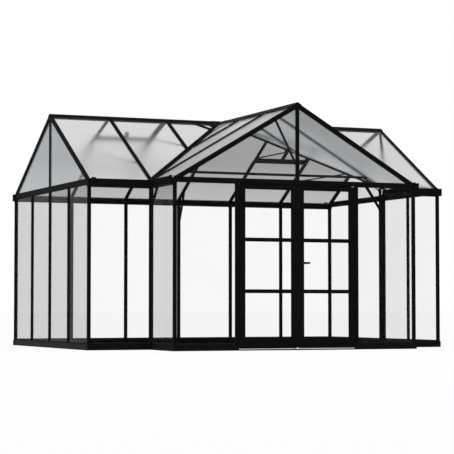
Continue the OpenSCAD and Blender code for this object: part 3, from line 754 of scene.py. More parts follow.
class Shaper:
    """Collects shaped solids in one bmesh and turns them into a piece."""

    def __init__(self) -> None:
        """Starts an empty mesh."""
        self.bm = bmesh.new()

    def _bevel(self, edges: list[bmesh.types.BMEdge], width: float, steps: int = 1) -> None:
        """Rounds some edges by a bevel of a width, in one or more steps."""
        bmesh.ops.bevel(
            self.bm, geom=edges, offset=width, segments=steps, profile=0.5, affect="EDGES", material=-1
        )

    def block(
        self, centre: Vector, along: Vector, across: Vector, up: Vector, edge: float, steps: int = 1
    ) -> None:
        """Adds a box with bevelled edges.

        Args:
            centre: Middle of the box.
            along: Full length of the box as a vector.
            across: Full width as a vector.
            up: Full height as a vector.
            edge: Width of the bevel.
            steps: Steps of the bevel.
        """
        if along.cross(across).dot(up) < 0:
            across = -across
        matrix = Matrix((along, across, up)).transposed().to_4x4()
        matrix.translation = centre
        corners = bmesh.ops.create_cube(self.bm, size=1.0, matrix=matrix)["verts"]
        self._bevel(list({e for corner in corners for e in corner.link_edges}), edge, steps)

    def upright(self, centre: Vector, size: Point, edge: float, steps: int = 1) -> None:
        """Adds a box that lies along the axes, with bevelled edges."""
        self.block(centre, X_WAY * size[0], Y_WAY * size[1], Z_WAY * size[2], edge, steps)

    def strip(self, start: Vector, end: Vector, wide: Vector, thick: Vector, section: Section) -> None:
        """Adds a straight bar between two points, with the ways of its width and its thickness."""
        across, up = wide * section.wide, thick * section.thick
        self.block((start + end) / 2, end - start, across, up, section.edge, section.steps)

    def rod(self, start: Vector, end: Vector, radius: float, sides: int, edge: float = 0.0) -> None:
        """Adds a round or many-sided bar between two points.

        Args:
            start: Middle of one end.
            end: Middle of the other end.
            radius: Radius to the corners.
            sides: Number of sides.
            edge: Width of the bevel round both ends.
        """
        axis = end - start
        turn = axis.to_track_quat("Z", "Y").to_matrix().to_4x4()
        matrix = Matrix.Translation((start + end) / 2) @ turn
        ring = bmesh.ops.create_cone(
            self.bm, cap_ends=True, segments=sides, radius1=radius, radius2=radius, depth=axis.length,
            matrix=matrix,
        )["verts"]
        if edge > 0.0:
            way = axis.normalized()
            rims = [
                e
                for e in {e for v in ring for e in v.link_edges}
                if abs((e.verts[0].co - e.verts[1].co).dot(way)) < axis.length / 2
            ]
            self._bevel(rims, edge)

    def plate(self, outline: list[Vector], thick: Vector, edge: float) -> None:
        """Adds a flat plate with a given outline.

        Args:
            outline: Corners of one face, in order.
            thick: Thickness of the plate as a vector away from that face.
            edge: Width of the bevel round both faces.
        """
        face = self.bm.faces.new([self.bm.verts.new(corner) for corner in outline])
        made = bmesh.ops.extrude_face_region(self.bm, geom=[face], use_keep_orig=True)["geom"]
        moved = [item for item in made if isinstance(item, bmesh.types.BMVert)]
        bmesh.ops.translate(self.bm, vec=thick, verts=moved)
        lid = next(item for item in made if isinstance(item, bmesh.types.BMFace))
        self._bevel(list(set(lid.edges) | set(face.edges)), edge)

    def bolt(self, seat: Vector, out: Vector, size: float) -> None:
        """Adds a hexagon head on a washer.

        Args:
            seat: Point on the surface under the washer.
            out: Direction away from the surface.
            size: Thread size, which the head follows.
        """
        out = out.normalized()
        foot, top = seat - out * HEAD.washer_sink, seat + out * HEAD.washer_top
        self.rod(foot, top, HEAD.washer_r * size, HEAD.washer_sides, HEAD.washer_sink)
        foot, top = seat + out * HEAD.hex_seat, seat + out * (HEAD.hex_seat + HEAD.hex_h * size)
        self.rod(foot, top, HEAD.hex_r * size, HEAD.hex_sides, HEAD.hex_edge * size)

    def screw(self, seat: Vector, out: Vector, radius: float) -> None:
        """Adds a round screw head with a sunk socket.

        Args:
            seat: Point on the surface under the head.
            out: Direction away from the surface.
            radius: Radius of the head.
        """
        out = out.normalized()
        high = HEAD.screw_h * radius
        turn = out.to_track_quat("Z", "Y").to_matrix().to_4x4()
        ring = bmesh.ops.create_cone(
            self.bm, cap_ends=True, segments=HEAD.screw_sides, radius1=radius,
            radius2=HEAD.screw_narrow * radius, depth=high,
            matrix=Matrix.Translation(seat + out * (high / 2 - HEAD.screw_sink)) @ turn,
        )["verts"]
        faces = {face for v in ring for face in v.link_faces}
        top = max(faces, key=lambda face: face.calc_center_median().dot(out))
        inset, depth = HEAD.socket_in * radius, -HEAD.socket_deep * radius
        bmesh.ops.inset_region(self.bm, faces=[top], thickness=inset, depth=depth)

    def finish(self, name: str, material: Material, body: Body = Body.HOUSE) -> bpy.types.Object:
        """Makes the collected mesh a piece that rides on a body.

        Args:
            name: Name of the piece.
            material: Its finish.
            body: Body that carries it.

        Returns:
            The new object.
        """
        bmesh.ops.recalc_face_normals(self.bm, faces=self.bm.faces)
        mesh = bpy.data.meshes.new(name)
        self.bm.to_mesh(mesh)
        self.bm.free()
        mesh.materials.append(material)
        piece = bpy.data.objects.new(name, mesh)
        bpy.context.scene.collection.objects.link(piece)
        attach(piece, body.value)
        LOG.info("%s: %d faces on %s", name, len(mesh.polygons), body.value)
        return piece


# ---------------------------------------------------------------- studio


@dataclass(frozen=True)
class Lamp:
    """A square soft lamp."""

    name: str
    place: Point
    size: float
    power: float

    def hang(self, aim: Vector) -> None:
        """Hangs the lamp where only its light shows.

        Args:
            aim: Point that the lamp looks at.
        """
        data = bpy.data.lights.new(self.name, "AREA")
        data.size = self.size
        data.energy = self.power
        lamp = bpy.data.objects.new(self.name, data)
        lamp.location = self.place
        lamp.rotation_euler = (aim - Vector(self.place)).to_track_quat("-Z", "Y").to_euler()
        lamp.visible_camera = False
        lamp.visible_glossy = False
        bpy.context.scene.collection.objects.link(lamp)


@dataclass(frozen=True)
class Studio:
    """Camera, pale floor and soft light."""

    lens: float = 137.626
    sensor: float = 36.0
    place: Point = (-8.27864, -19.53806, 0.46904)
    tilt: float = math.pi / 2 + 0.04672
    pan: float = -0.39713
    sight: float = 500.0
    ambient: float = 0.72
    white: Colour = (1.0, 1.0, 1.0)
    floor_tone: Colour = (0.9, 0.9, 0.9)
    floor_size: float = 150.0
    floor_z: float = -0.002
    glow: float = 0.93
    aim: Point = (0.0, 0.0, 1.2)
    lamps: tuple[Lamp, ...] = (
        Lamp("key_lamp", (-7.0, -9.0, 8.5), 5.0, 330.0), Lamp("fill_lamp", (8.0, -6.0, 5.0), 6.0, 90.0),
    )
    pane_faces: int = 32

    def build(self) -> None:
        """Sets up everything round the building, and lets a ray pass all the panes in its way."""
        bpy.context.scene.view_settings.view_transform = "Standard"
        bpy.context.scene.cycles.transparent_max_bounces = self.pane_faces
        self._camera()
        self._world()
        self._floor()
        for lamp in self.lamps:
            lamp.hang(Vector(self.aim))

    def _camera(self) -> None:
        """Places the camera at the photograph's viewing angle."""
        data = bpy.data.cameras.new("photo_camera")
        data.sensor_fit = "HORIZONTAL"
        data.sensor_width = self.sensor
        data.lens = self.lens
        data.clip_end = self.sight
        camera = bpy.data.objects.new("photo_camera", data)
        camera.location = self.place
        camera.rotation_euler = (self.tilt, 0.0, self.pan)
        bpy.context.scene.collection.objects.link(camera)
        bpy.context.scene.camera = camera

    @staticmethod
    def _shown(sheet: NodeSheet) -> Socket:
        """Marks the rays that show the background: seen, mirrored or seen through glass.

        Args:
            sheet: Sheet of the world or of a material.

        Returns:
            An output that is 1 for those rays and 0 for others.
        """
        ray = sheet.add("ShaderNodeLightPath").outputs
        mirrored_too = sheet.math("MAXIMUM", ray["Is Camera Ray"], ray["Is Glossy Ray"])
        return sheet.math("MAXIMUM", mirrored_too, ray["Is Transmission Ray"])

    def _world(self) -> None:
        """Lights evenly from all round and shows white."""
        world = bpy.data.worlds.new("soft_room")
        world.use_nodes = True
        sheet = NodeSheet(world.node_tree)
        light = sheet.fed(sheet.add("ShaderNodeBackground"), (self.ambient,) * 3).outputs[0]
        white = sheet.fed(sheet.add("ShaderNodeBackground"), self.white).outputs[0]
        output = sheet.add("ShaderNodeOutputWorld")
        sheet.feed(output.inputs["Surface"], sheet.mixed(self._shown(sheet), light, white))
        bpy.context.scene.world = world

    def _floor(self) -> None:
        """Lays a pale floor that keeps a faint shadow."""
        mesh = bpy.data.meshes.new("studio_floor")
        bm = bmesh.new()
        bmesh.ops.create_grid(bm, x_segments=2, y_segments=2, size=self.floor_size)
        bm.to_mesh(mesh)
        bm.free()
        material = bpy.data.materials.new("pale_floor")
        material.use_nodes = True
        sheet = NodeSheet(material.node_tree)
        matt = sheet.fed(sheet.add("ShaderNodeBsdfDiffuse"), self.floor_tone).outputs[0]
        light = sheet.fed(sheet.add("ShaderNodeEmission"), self.white).outputs[0]
        share = sheet.math("MULTIPLY", self._shown(sheet), self.glow)
        output = sheet.add("ShaderNodeOutputMaterial")
        sheet.feed(output.inputs["Surface"], sheet.mixed(share, matt, light))
        mesh.materials.append(material)
        floor = bpy.data.objects.new("studio_floor", mesh)
        floor.location.z = self.floor_z
        bpy.context.scene.collection.objects.link(floor)


# ---------------------------------------------------------------- building


@dataclass
class Carcass:
    """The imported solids, each with its finish."""

    finishes: Finishes
    base_nodes: tuple[str, ...] = ("back_base_rail", "side_base_rails", "front_base_rails", "door_threshold")
    lever_nodes: tuple[str, ...] = ("door_handle", "handle_roses", "left_door_bolt")
    wall_nodes: tuple[str, ...] = (
        "back_wall_panes", "end_wall_panes", "front_wall_panes", "left_door_panes", "right_door_panes",
    )
    roof_nodes: tuple[str, ...] = ("back_roof_panes", "front_roof_panes", "vent_panes")

    def dress(self) -> None:
        """Gives every node its finish; what is not named here is coated bar."""
        finishes = self.finishes
        chosen: dict[str, Material] = {
            # wing_rafters take the pale grey with painted light.
            "gable_panes": finishes.gable_glass, "wing_roof_panes": finishes.wing_sheet,
            "wing_rafters": finishes.painted_light_grey, "valley_channels": finishes.valley,
            **dict.fromkeys(self.base_nodes, finishes.base_coat),
            **dict.fromkeys(self.lever_nodes, finishes.lever),
            **dict.fromkeys(self.wall_nodes, finishes.wall_glass),
            **dict.fromkeys(self.roof_nodes, finishes.roof_sheet),
        }
        for name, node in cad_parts.items():
            material = chosen.get(name, finishes.coat)
            for slot in node.material_slots:
                slot.material = material
            LOG.info("%s: %s", name, material.name)


# ---------------------------------------------------------------- glazing


@dataclass(frozen=True)
class Wall:
    """A straight wall: where it starts, the way it runs, and its bars."""

    start: Vector
    along: Vector
    out: Vector
    bars: Pairs
    top: float
    bead: float

    def point(self, run: float, away: float, height: float) -> Vector:
        """Gives the point at a distance along the wall, away from its middle plane, and up."""
        return self.start + self.along * run + self.out * away + Z_WAY * height


@dataclass
class WallSeals:
    """Rubber beads that hold the fixed wall panes, on both faces."""

    finishes: Finishes
    back_bead: float = 0.0090
    end_bead: float = 0.0036
    front_bead: float = 0.0065
    foot: float = 0.015
    head: float = 0.007
    proud: float = 0.0055
    round: float = 0.0016

    def build(self) -> None:
        """Runs a bead round every pane."""
        shaper = Shaper()
        for wall in self._walls():
            for (u0, w0), (u1, w1) in zip(wall.bars, wall.bars[1:]):
                self._frame(shaper, wall, u0 + w0 / 2, u1 - w1 / 2)
        shaper.finish("wall_pane_seals", self.finishes.seal)

    @staticmethod
    def _bars(bays: int, last_w: float) -> Pairs:
        """Lists the place and the width of a wall's bars, from a corner post to its last post."""
        inner = ((k * PLAN.bay, PLAN.bar_w) for k in range(1, bays))
        return ((0.0, PLAN.corner_w), *inner, (bays * PLAN.bay, last_w))

    def _walls(self) -> list[Wall]:
        """Lists every wall with fixed panes, each from its own outer corner.

        Returns:
            The back wall, then the four walls of either half.
        """
        p = PLAN
        back = X_WAY * -p.half_len + Y_WAY * p.y_back
        found = [Wall(back, X_WAY, Y_WAY, self._bars(6, p.corner_w), p.eave_h, self.back_bead)]
        for side in Side:
            out = X_WAY * side.value
            house = out * p.half_len + Y_WAY * p.y_front
            wing = out * p.half_span + Y_WAY * p.y_wing
            short, by_door = self._bars(1, p.inner_w), self._bars(1, p.door_post_w)
            found += [
                Wall(house, Y_WAY, out, self._bars(4, p.corner_w), p.tie_z, self.end_bead),
                Wall(house, -out, -Y_WAY, short, p.eave_h, self.front_bead),
                Wall(wing, Y_WAY, out, short, p.eave_h, self.front_bead),
                Wall(wing, -out, -Y_WAY, by_door, p.tie_z, self.front_bead),
            ]
        return found

    def _frame(self, shaper: Shaper, wall: Wall, low: float, high: float) -> None:
        """Adds the four beads of one pane on either face.

        Args:
            shaper: Mesh of the beads.
            wall: Wall that holds the pane.
            low: Where the pane's opening starts along the wall.
            high: Where it ends.
        """
        floor, top = PLAN.base_h, wall.top
        rows = ((floor + self.foot / 2, self.foot), (top - self.head / 2, self.head))
        for face in BOTH:
            away = face * (PLAN.pane_t / 2 + self.proud / 2)
            for run in (low + wall.bead / 2, high - wall.bead / 2):
                ends = wall.point(run, away, floor), wall.point(run, away, top)
                shaper.strip(*ends, wall.along, wall.out, Section(wall.bead, self.proud, self.round))
            for height, tall in rows:
                ends = wall.point(low, away, height), wall.point(high, away, height)
                shaper.strip(*ends, Z_WAY, wall.out, Section(tall, self.proud, self.round))


@dataclass(frozen=True)
class Slope:
    """A roof plane: a point on its eave line, the way along the eave and the level way in."""

    eave: Vector
    along: Vector
    inward: Vector

    @property
    def up(self) -> Vector:
        """Unit way up the slope."""
        return self.inward * math.cos(PLAN.pitch) + Z_WAY * math.sin(PLAN.pitch)

    @property
    def out(self) -> Vector:
        """Unit way out of the roof."""
        return Z_WAY * math.cos(PLAN.pitch) - self.inward * math.sin(PLAN.pitch)

    def point(self, run: float, length: float, lift: float) -> Vector:
        """Gives the point at a distance along the eave, up the slope, and out of the glass's middle."""
        return self.eave + self.along * run + self.up * length + self.out * lift

    def in_plan(self, x: float, y: float, lift: float) -> Vector:
        """Gives the point on the plane above a place in plan, lifted out of the glass."""
        run = (Vector((x, y, 0.0)) - self.eave).dot(self.inward)
        return Vector((x, y, PLAN.rise(run))) + self.out * lift

    def level(
        self, shaper: Shaper, runs: tuple[float, float], length: float, lift: float, section: Section
    ) -> None:
        """Adds a bar that runs level, from one distance along the eave to another."""
        start, end = (self.point(run, length, lift) for run in runs)
        shaper.strip(start, end, self.up, self.out, section)

    def rising(
        self, shaper: Shaper, run: float, lengths: tuple[float, float], lift: float, section: Section
    ) -> None:
        """Adds a bar that runs up the slope, from one distance up it to another."""
        start, end = (self.point(run, length, lift) for length in lengths)
        shaper.strip(start, end, self.along, self.out, section)


def back_slope() -> Slope:
    """The main roof's rear plane."""
    return Slope(Vector((0.0, PLAN.y_back, PLAN.roof_z)), X_WAY, -Y_WAY)


def front_slope() -> Slope:
    """The main roof's front plane."""
    return Slope(Vector((0.0, PLAN.y_front, PLAN.roof_z)), X_WAY, Y_WAY)


def wing_slope(side: Side) -> Slope:
    """One of the wing's roof planes."""
    return Slope(Vector((side.value * PLAN.half_span, 0.0, PLAN.roof_z)), Y_WAY, X_WAY * -side.value)


@dataclass(frozen=True)
class Rafter:
    """A roof bar on a plane, from one distance up the slope to another."""

    slope: Slope
    run: float
    low: float
    high: float


@dataclass
class RoofBars:
    """Snap-on caps and seals along the roof bars, and cover strips along the valleys and ridges."""

    finishes: Finishes
    cap: Section = Section(0.036, 0.0085, 0.0028, 2)
    cap_sink: float = 0.0005
    cap_foot: float = -0.012
    seal: Section = Section(0.0045, 0.007, 0.0016)
    seal_foot: float = 0.012
    vent_sill: float = 0.925
    ridge_reach: float = 0.0597
    cover_reach: float = 0.1085
    valley_half: float = 0.037
    valley_gap: float = 0.004
    valley_edge: float = 0.023
    valley_strip: Section = Section(0.019, 0.009, 0.0028, 2)
    valley_ends: tuple[float, float] = (0.055, 1.93)
    flashing: Section = Section(0.044, 0.005, 0.0012)
    flashing_lift: float = 0.0028
    flashing_tuck: float = 0.008
    flashing_lap: float = 0.006
    flashing_front: float = 0.020
    flashing_rear: float = 0.155
    filler_w: float = 0.016
    filler_sink: float = 0.0005
    filler_tuck: float = 0.002
    filler_edge: float = 0.0022
    filler_house: float = 0.11
    filler_wing: float = 0.10

    @property
    def slope_len(self) -> float:
        """Length of a roof plane up the slope."""
        return PLAN.half_span / math.cos(PLAN.pitch)

    def rafters(self) -> list[Rafter]:
        """Lists the inner roof bars.

        Returns:
            The bars, with the lengths that a cap can take.
        """
        p, top = PLAN, self.slope_len - self.ridge_reach
        wing_top = top - self.flashing.wide + self.flashing_lap
        clear = self.valley_half * math.sqrt(2) + self.valley_gap
        corner, jack = clear / math.cos(p.pitch), (p.bay + clear) / math.cos(p.pitch)
        listed = [Rafter(back_slope(), 0.0, self.cap_foot, self.slope_len - self.cover_reach)]
        for side in Side:
            s = side.value
            listed += [Rafter(back_slope(), s * k * p.bay, self.cap_foot, self.vent_sill) for k in (1, 2)]
            listed += [
                Rafter(front_slope(), s * 2 * p.bay, corner, top),
                Rafter(front_slope(), s * p.bay, jack, top),
                Rafter(wing_slope(side), p.y_front, corner, wing_top),
                Rafter(wing_slope(side), p.y_front + p.bay, jack, wing_top),
            ]
        return listed

    def build(self) -> None:
        """Builds the caps, the seals and the cover strips."""
        self._caps()
        self._seals()
        self._valley_strips()
        self._ridge_fillers()
        self._wing_flashing()

    def _wing_flashing(self) -> None:
        """Lays a flat strip below the wing's ridge cap on both slopes."""
        shaper = Shaper()
        length = self.slope_len - self.ridge_reach - self.flashing.wide / 2 + self.flashing_tuck
        runs = PLAN.y_wing + self.flashing_front, PLAN.y_ridge - self.flashing_rear
        for side in Side:
            wing_slope(side).level(shaper, runs, length, PLAN.bar_out + self.flashing_lift, self.flashing)
        shaper.finish("wing_ridge_flashing", self.finishes.coat)

    def _caps(self) -> None:
        """Lays a rounded cap on every roof bar."""
        shaper = Shaper()
        lift = PLAN.bar_out + self.cap.thick / 2 - self.cap_sink
        for bar in self.rafters():
            bar.slope.rising(shaper, bar.run, (bar.low, bar.high), lift, self.cap)
        shaper.finish("roof_bar_caps", self.finishes.coat)

    def _seals(self) -> None:
        """Runs a seal along either side of every roof bar, on both faces of the glass."""
        shaper = Shaper()
        lift = PLAN.pane_t / 2 + self.seal.thick / 2
        for bar in self.rafters():
            ends = bar.low + self.seal_foot, bar.high
            for hand in BOTH:
                run = bar.run + hand * (PLAN.bar_w + self.seal.wide) / 2
                for face in BOTH:
                    bar.slope.rising(shaper, run, ends, face * lift, self.seal)
        shaper.finish("roof_pane_seals", self.finishes.seal)

    def _valley_strips(self) -> None:
        """Covers the pane edges along both sides of the valleys."""
        shaper = Shaper()
        root = math.sqrt(0.5)
        middle = self.valley_edge + self.valley_strip.wide / 2
        lift = PLAN.pane_t / 2 + self.valley_strip.thick / 2
        for side in Side:
            s = side.value
            way = Vector((-s * root, root, 0.0))
            off = Vector((s * root, root, 0.0)), Vector((-s * root, -root, 0.0))
            for slope, away in zip((front_slope(), wing_slope(side)), off):
                foot = Vector((s * PLAN.half_span, PLAN.y_front, 0.0)) + away * middle
                ends = [foot + way * length for length in self.valley_ends]
                start, end = (slope.in_plan(place.x, place.y, lift) for place in ends)
                across = slope.out.cross((end - start).normalized())
                shaper.strip(start, end, across, slope.out, self.valley_strip)
        shaper.finish("valley_cover_strips", self.finishes.coat)

    def _ridge_fillers(self) -> None:
        """Packs foam under the lower edges of the ridge caps."""
        shaper = Shaper()
        glass = PLAN.pane_t / 2
        thick = PLAN.bar_out - self.filler_sink - glass
        length = self.slope_len - self.ridge_reach + self.filler_w / 2 - self.filler_tuck
        end = PLAN.half_len - PLAN.corner_w / 2
        wing_runs = PLAN.y_wing + PLAN.corner_w / 2, PLAN.y_ridge - self.filler_wing
        runs = [(back_slope(), (-end, end))]
        for side in Side:
            runs.append((front_slope(), (side.value * self.filler_house, side.value * end)))
            runs.append((wing_slope(side), wing_runs))
        for slope, ends in runs:
            section = Section(self.filler_w, thick, self.filler_edge)
            slope.level(shaper, ends, length, glass + thick / 2, section)
        shaper.finish("ridge_cap_fillers", self.finishes.seal)


@dataclass
class GableSeals:
    """Beads along the mullions and beams of the three gables."""

    finishes: Finishes
    end_bead: float = 0.0090
    wing_bead: float = 0.0115
    proud: float = 0.006
    round: float = 0.0016
    head_gap: float = 0.016

    def build(self) -> None:
        """Runs beads up the mullions, along the beams and under the gable bars."""
        p, shaper = PLAN, Shaper()
        beam, header = p.tie_z + p.beam_h, p.tie_z + p.header_h
        ridge, end = Y_WAY * p.y_ridge, X_WAY * p.half_len
        gables = [
            (ridge - end, Y_WAY, -X_WAY, beam, self.end_bead),
            (ridge + end, Y_WAY, X_WAY, beam, self.end_bead),
            (Y_WAY * p.y_wing, X_WAY, -Y_WAY, header, self.wing_bead),
        ]
        for middle, along, out, low, bead in gables:
            for face in BOTH:
                away = out * face * (p.pane_t / 2 + self.proud / 2)
                for hand in BOTH:
                    self._half(shaper, middle + away, along * hand, out, low, bead)
        shaper.finish("gable_pane_seals", self.finishes.seal)

    def _half(
        self, shaper: Shaper, middle: Vector, along: Vector, out: Vector, low: float, bead: float
    ) -> None:
        """Adds the beads of one triangular pane on one face.

        Args:
            shaper: Mesh of the beads.
            middle: Foot of the gable's middle line on that face.
            along: Way from the middle to the pane's tip.
            out: Way out of the gable.
            low: Height of the pane's foot.
            bead: Width of the beads on the beam and the bar.
        """
        p, section = PLAN, Section(bead, self.proud, self.round)
        near = p.bar_w / 2 + self.end_bead / 2
        under = p.gable_in / math.cos(p.pitch)
        tip = p.half_span - (low - p.roof_z + under) / math.tan(p.pitch)
        inner, outer = middle + along * near, middle + along * tip
        upright = Section(self.end_bead, self.proud, self.round)
        shaper.strip(inner + Z_WAY * low, inner + Z_WAY * (p.ridge_z - p.ridge_drop), along, out, upright)
        level = Z_WAY * (low + bead / 2)
        shaper.strip(inner + level, outer + level, Z_WAY, out, section)
        slant = along * math.cos(p.pitch) - Z_WAY * math.sin(p.pitch)
        square_to = along * math.sin(p.pitch) + Z_WAY * math.cos(p.pitch)
        drop = square_to * (bead / 2)
        head = inner + Z_WAY * (p.ridge_z - near * math.tan(p.pitch) - under) - drop
        shaper.strip(head + slant * self.head_gap, outer + Z_WAY * low - drop, square_to, out, section)


# ---------------------------------------------------------------- roof fittings


@dataclass
class RidgeJunction:
    """Closing pieces where the wing's ridge meets the main ridge, given in plan for the right half."""

    finishes: Finishes
    closer: Section = Section(0.046, 0.016, 0.003, 2)
    closer_ends: Pairs = ((0.376, 0.303), (0.205, 0.158))
    closer_lift: float = 0.75
    closer_screws: tuple[float, ...] = (0.25, 0.75)
    closer_screw_r: float = 0.0055
    shoulder: Section = Section(0.134, 0.011, 0.003, 2)
    shoulder_ends: Pairs = ((0.145, 0.234), (0.145, 0.336))
    shoulder_screws: Pairs = ((0.095, 0.250), (0.195, 0.250))
    shoulder_screw_r: float = 0.006
    grey_plate_corners: Pairs = ((0.080, 0.25), (0.080, -0.08), (0.215, 0.15))
    flashing_lift: float = 0.5
    grey_plate_t: float = 0.005
    grey_plate_edge: float = 0.0008

    def build(self) -> None:
        """Builds the shoulder plates, the slanting closers, grey plates that darken the top corner of each
        wing slope, and the screws.
        """
        shaper, heads, flashing = Shaper(), Shaper(), Shaper()
        slope, bar_out = front_slope(), PLAN.bar_out
        for side in Side:
            s = side.value
            start, end = (slope.in_plan(s * x, y, bar_out * self.closer_lift) for x, y in self.closer_ends)
            shaper.strip(start, end, slope.out.cross((end - start).normalized()), slope.out, self.closer)
            middle = bar_out + self.shoulder.thick / 2
            low, high = (slope.in_plan(s * x, y, middle) for x, y in self.shoulder_ends)
            shaper.strip(low, high, X_WAY, slope.out, self.shoulder)
            wing = wing_slope(side)
            lift = bar_out * self.flashing_lift
            # Grey plates lie over the top corner of each wing slope by the junction and darken it.
            corners = [wing.in_plan(s * x, y, lift) for x, y in self.grey_plate_corners]
            flashing.plate(corners, wing.out * self.grey_plate_t, self.grey_plate_edge)
            for x, y in self.shoulder_screws:
                seat = slope.in_plan(s * x, y, bar_out + self.shoulder.thick)
                heads.screw(seat, slope.out, self.shoulder_screw_r)
            for share in self.closer_screws:
                seat = start.lerp(end, share) + slope.out * (self.closer.thick / 2)
                heads.screw(seat, slope.out, self.closer_screw_r)
        flashing.finish("wing_corner_grey_plates", self.finishes.painted_light_grey)
        shaper.finish("ridge_junction_plates", self.finishes.coat)
        heads.finish("ridge_junction_screws", self.finishes.screw)


@dataclass
class RidgeScrews:
    """Screws along both slopes of the ridge caps."""

    finishes: Finishes
    spacing: float = 0.37
    reach: float = 0.030
    lift: float = 0.0183
    radius: float = 0.0055
    junction: float = 0.23
    wing_start: float = 0.15
    wing_stop: float = 0.25

    def build(self) -> None:
        """Sets a screw at every half bay, clear of the junction cover."""
        shaper = Shaper()
        length = (PLAN.half_span - self.reach) / math.cos(PLAN.pitch)
        runs = [k * self.spacing for k in range(-5, 6) if abs(k * self.spacing) > self.junction]
        places = [(slope, run) for run in runs for slope in (back_slope(), front_slope())]
        wing_runs = [PLAN.y_wing + self.wing_start + k * self.spacing for k in range(5)]
        for side in Side:
            places += [(wing_slope(side), run) for run in wing_runs if run < PLAN.y_ridge - self.wing_stop]
        for slope, run in places:
            shaper.screw(slope.point(run, length, self.lift), slope.out, self.radius)
        shaper.finish("ridge_cap_screws", self.finishes.screw)


@dataclass
class CornerGussets:
    """Hollowed plates between the inner corner posts and the valleys."""

    finishes: Finishes
    thick: float = 0.012
    edge: float = 0.0012
    near: float = 0.026
    far: float = 0.150
    low: float = 1.792
    head: float = 1.872
    lip: float = 0.012
    steps: int = 10
    bolts: Pairs = ((0.042, 1.83), (0.06, 1.875), (0.105, 1.893))
    bolt_size: float = 0.005

    def build(self) -> None:
        """Builds one gusset at either inner corner, with its bolts."""
        shaper, heads = Shaper(), Shaper()
        for side in Side:
            s = side.value
            post = Vector((s * PLAN.half_span, PLAN.y_front, 0.0))
            way = Vector((-s, 1.0, 0.0)).normalized()
            across = Vector((s, 1.0, 0.0)).normalized() * self.thick
            edge = [post + way * away + Z_WAY * rise - across / 2 for away, rise in self._outline()]
            shaper.plate(edge, across, self.edge)
            for away, rise in self.bolts:
                heads.bolt(post + way * away + Z_WAY * rise + across / 2, across, self.bolt_size)
        shaper.finish("inner_corner_gussets", self.finishes.coat)
        heads.finish("inner_corner_bolts", self.finishes.screw)

    def _outline(self) -> list[tuple[float, float]]:
        """Draws a gusset from the post outwards, with its hollow as a quarter turn.

        Returns:
            Distance from the post's middle and height of each corner.
        """
        tilt = math.tan(PLAN.pitch) / math.sqrt(2)
        top = self.head + self.far * tilt
        corners = [(self.near, self.head + self.near * tilt), (self.near, self.low)]
        for step in range(1, self.steps):
            turn = math.pi / 2 * step / self.steps
            away = self.near + self.lip + (self.far - self.near - self.lip) * (1 - math.cos(turn))
            corners.append((away, self.low + (top - self.lip - self.low) * math.sin(turn)))
        return [*corners, (self.far, top)]


# ---------------------------------------------------------------- eaves and base


@dataclass(frozen=True)
class GutterRun:
    """One gutter: its start on the wall line, its way, its outer side, its length and its open ends."""

    start: Vector
    along: Vector
    out: Vector
    length: float
    ends: tuple[float, ...] = (0.0,)


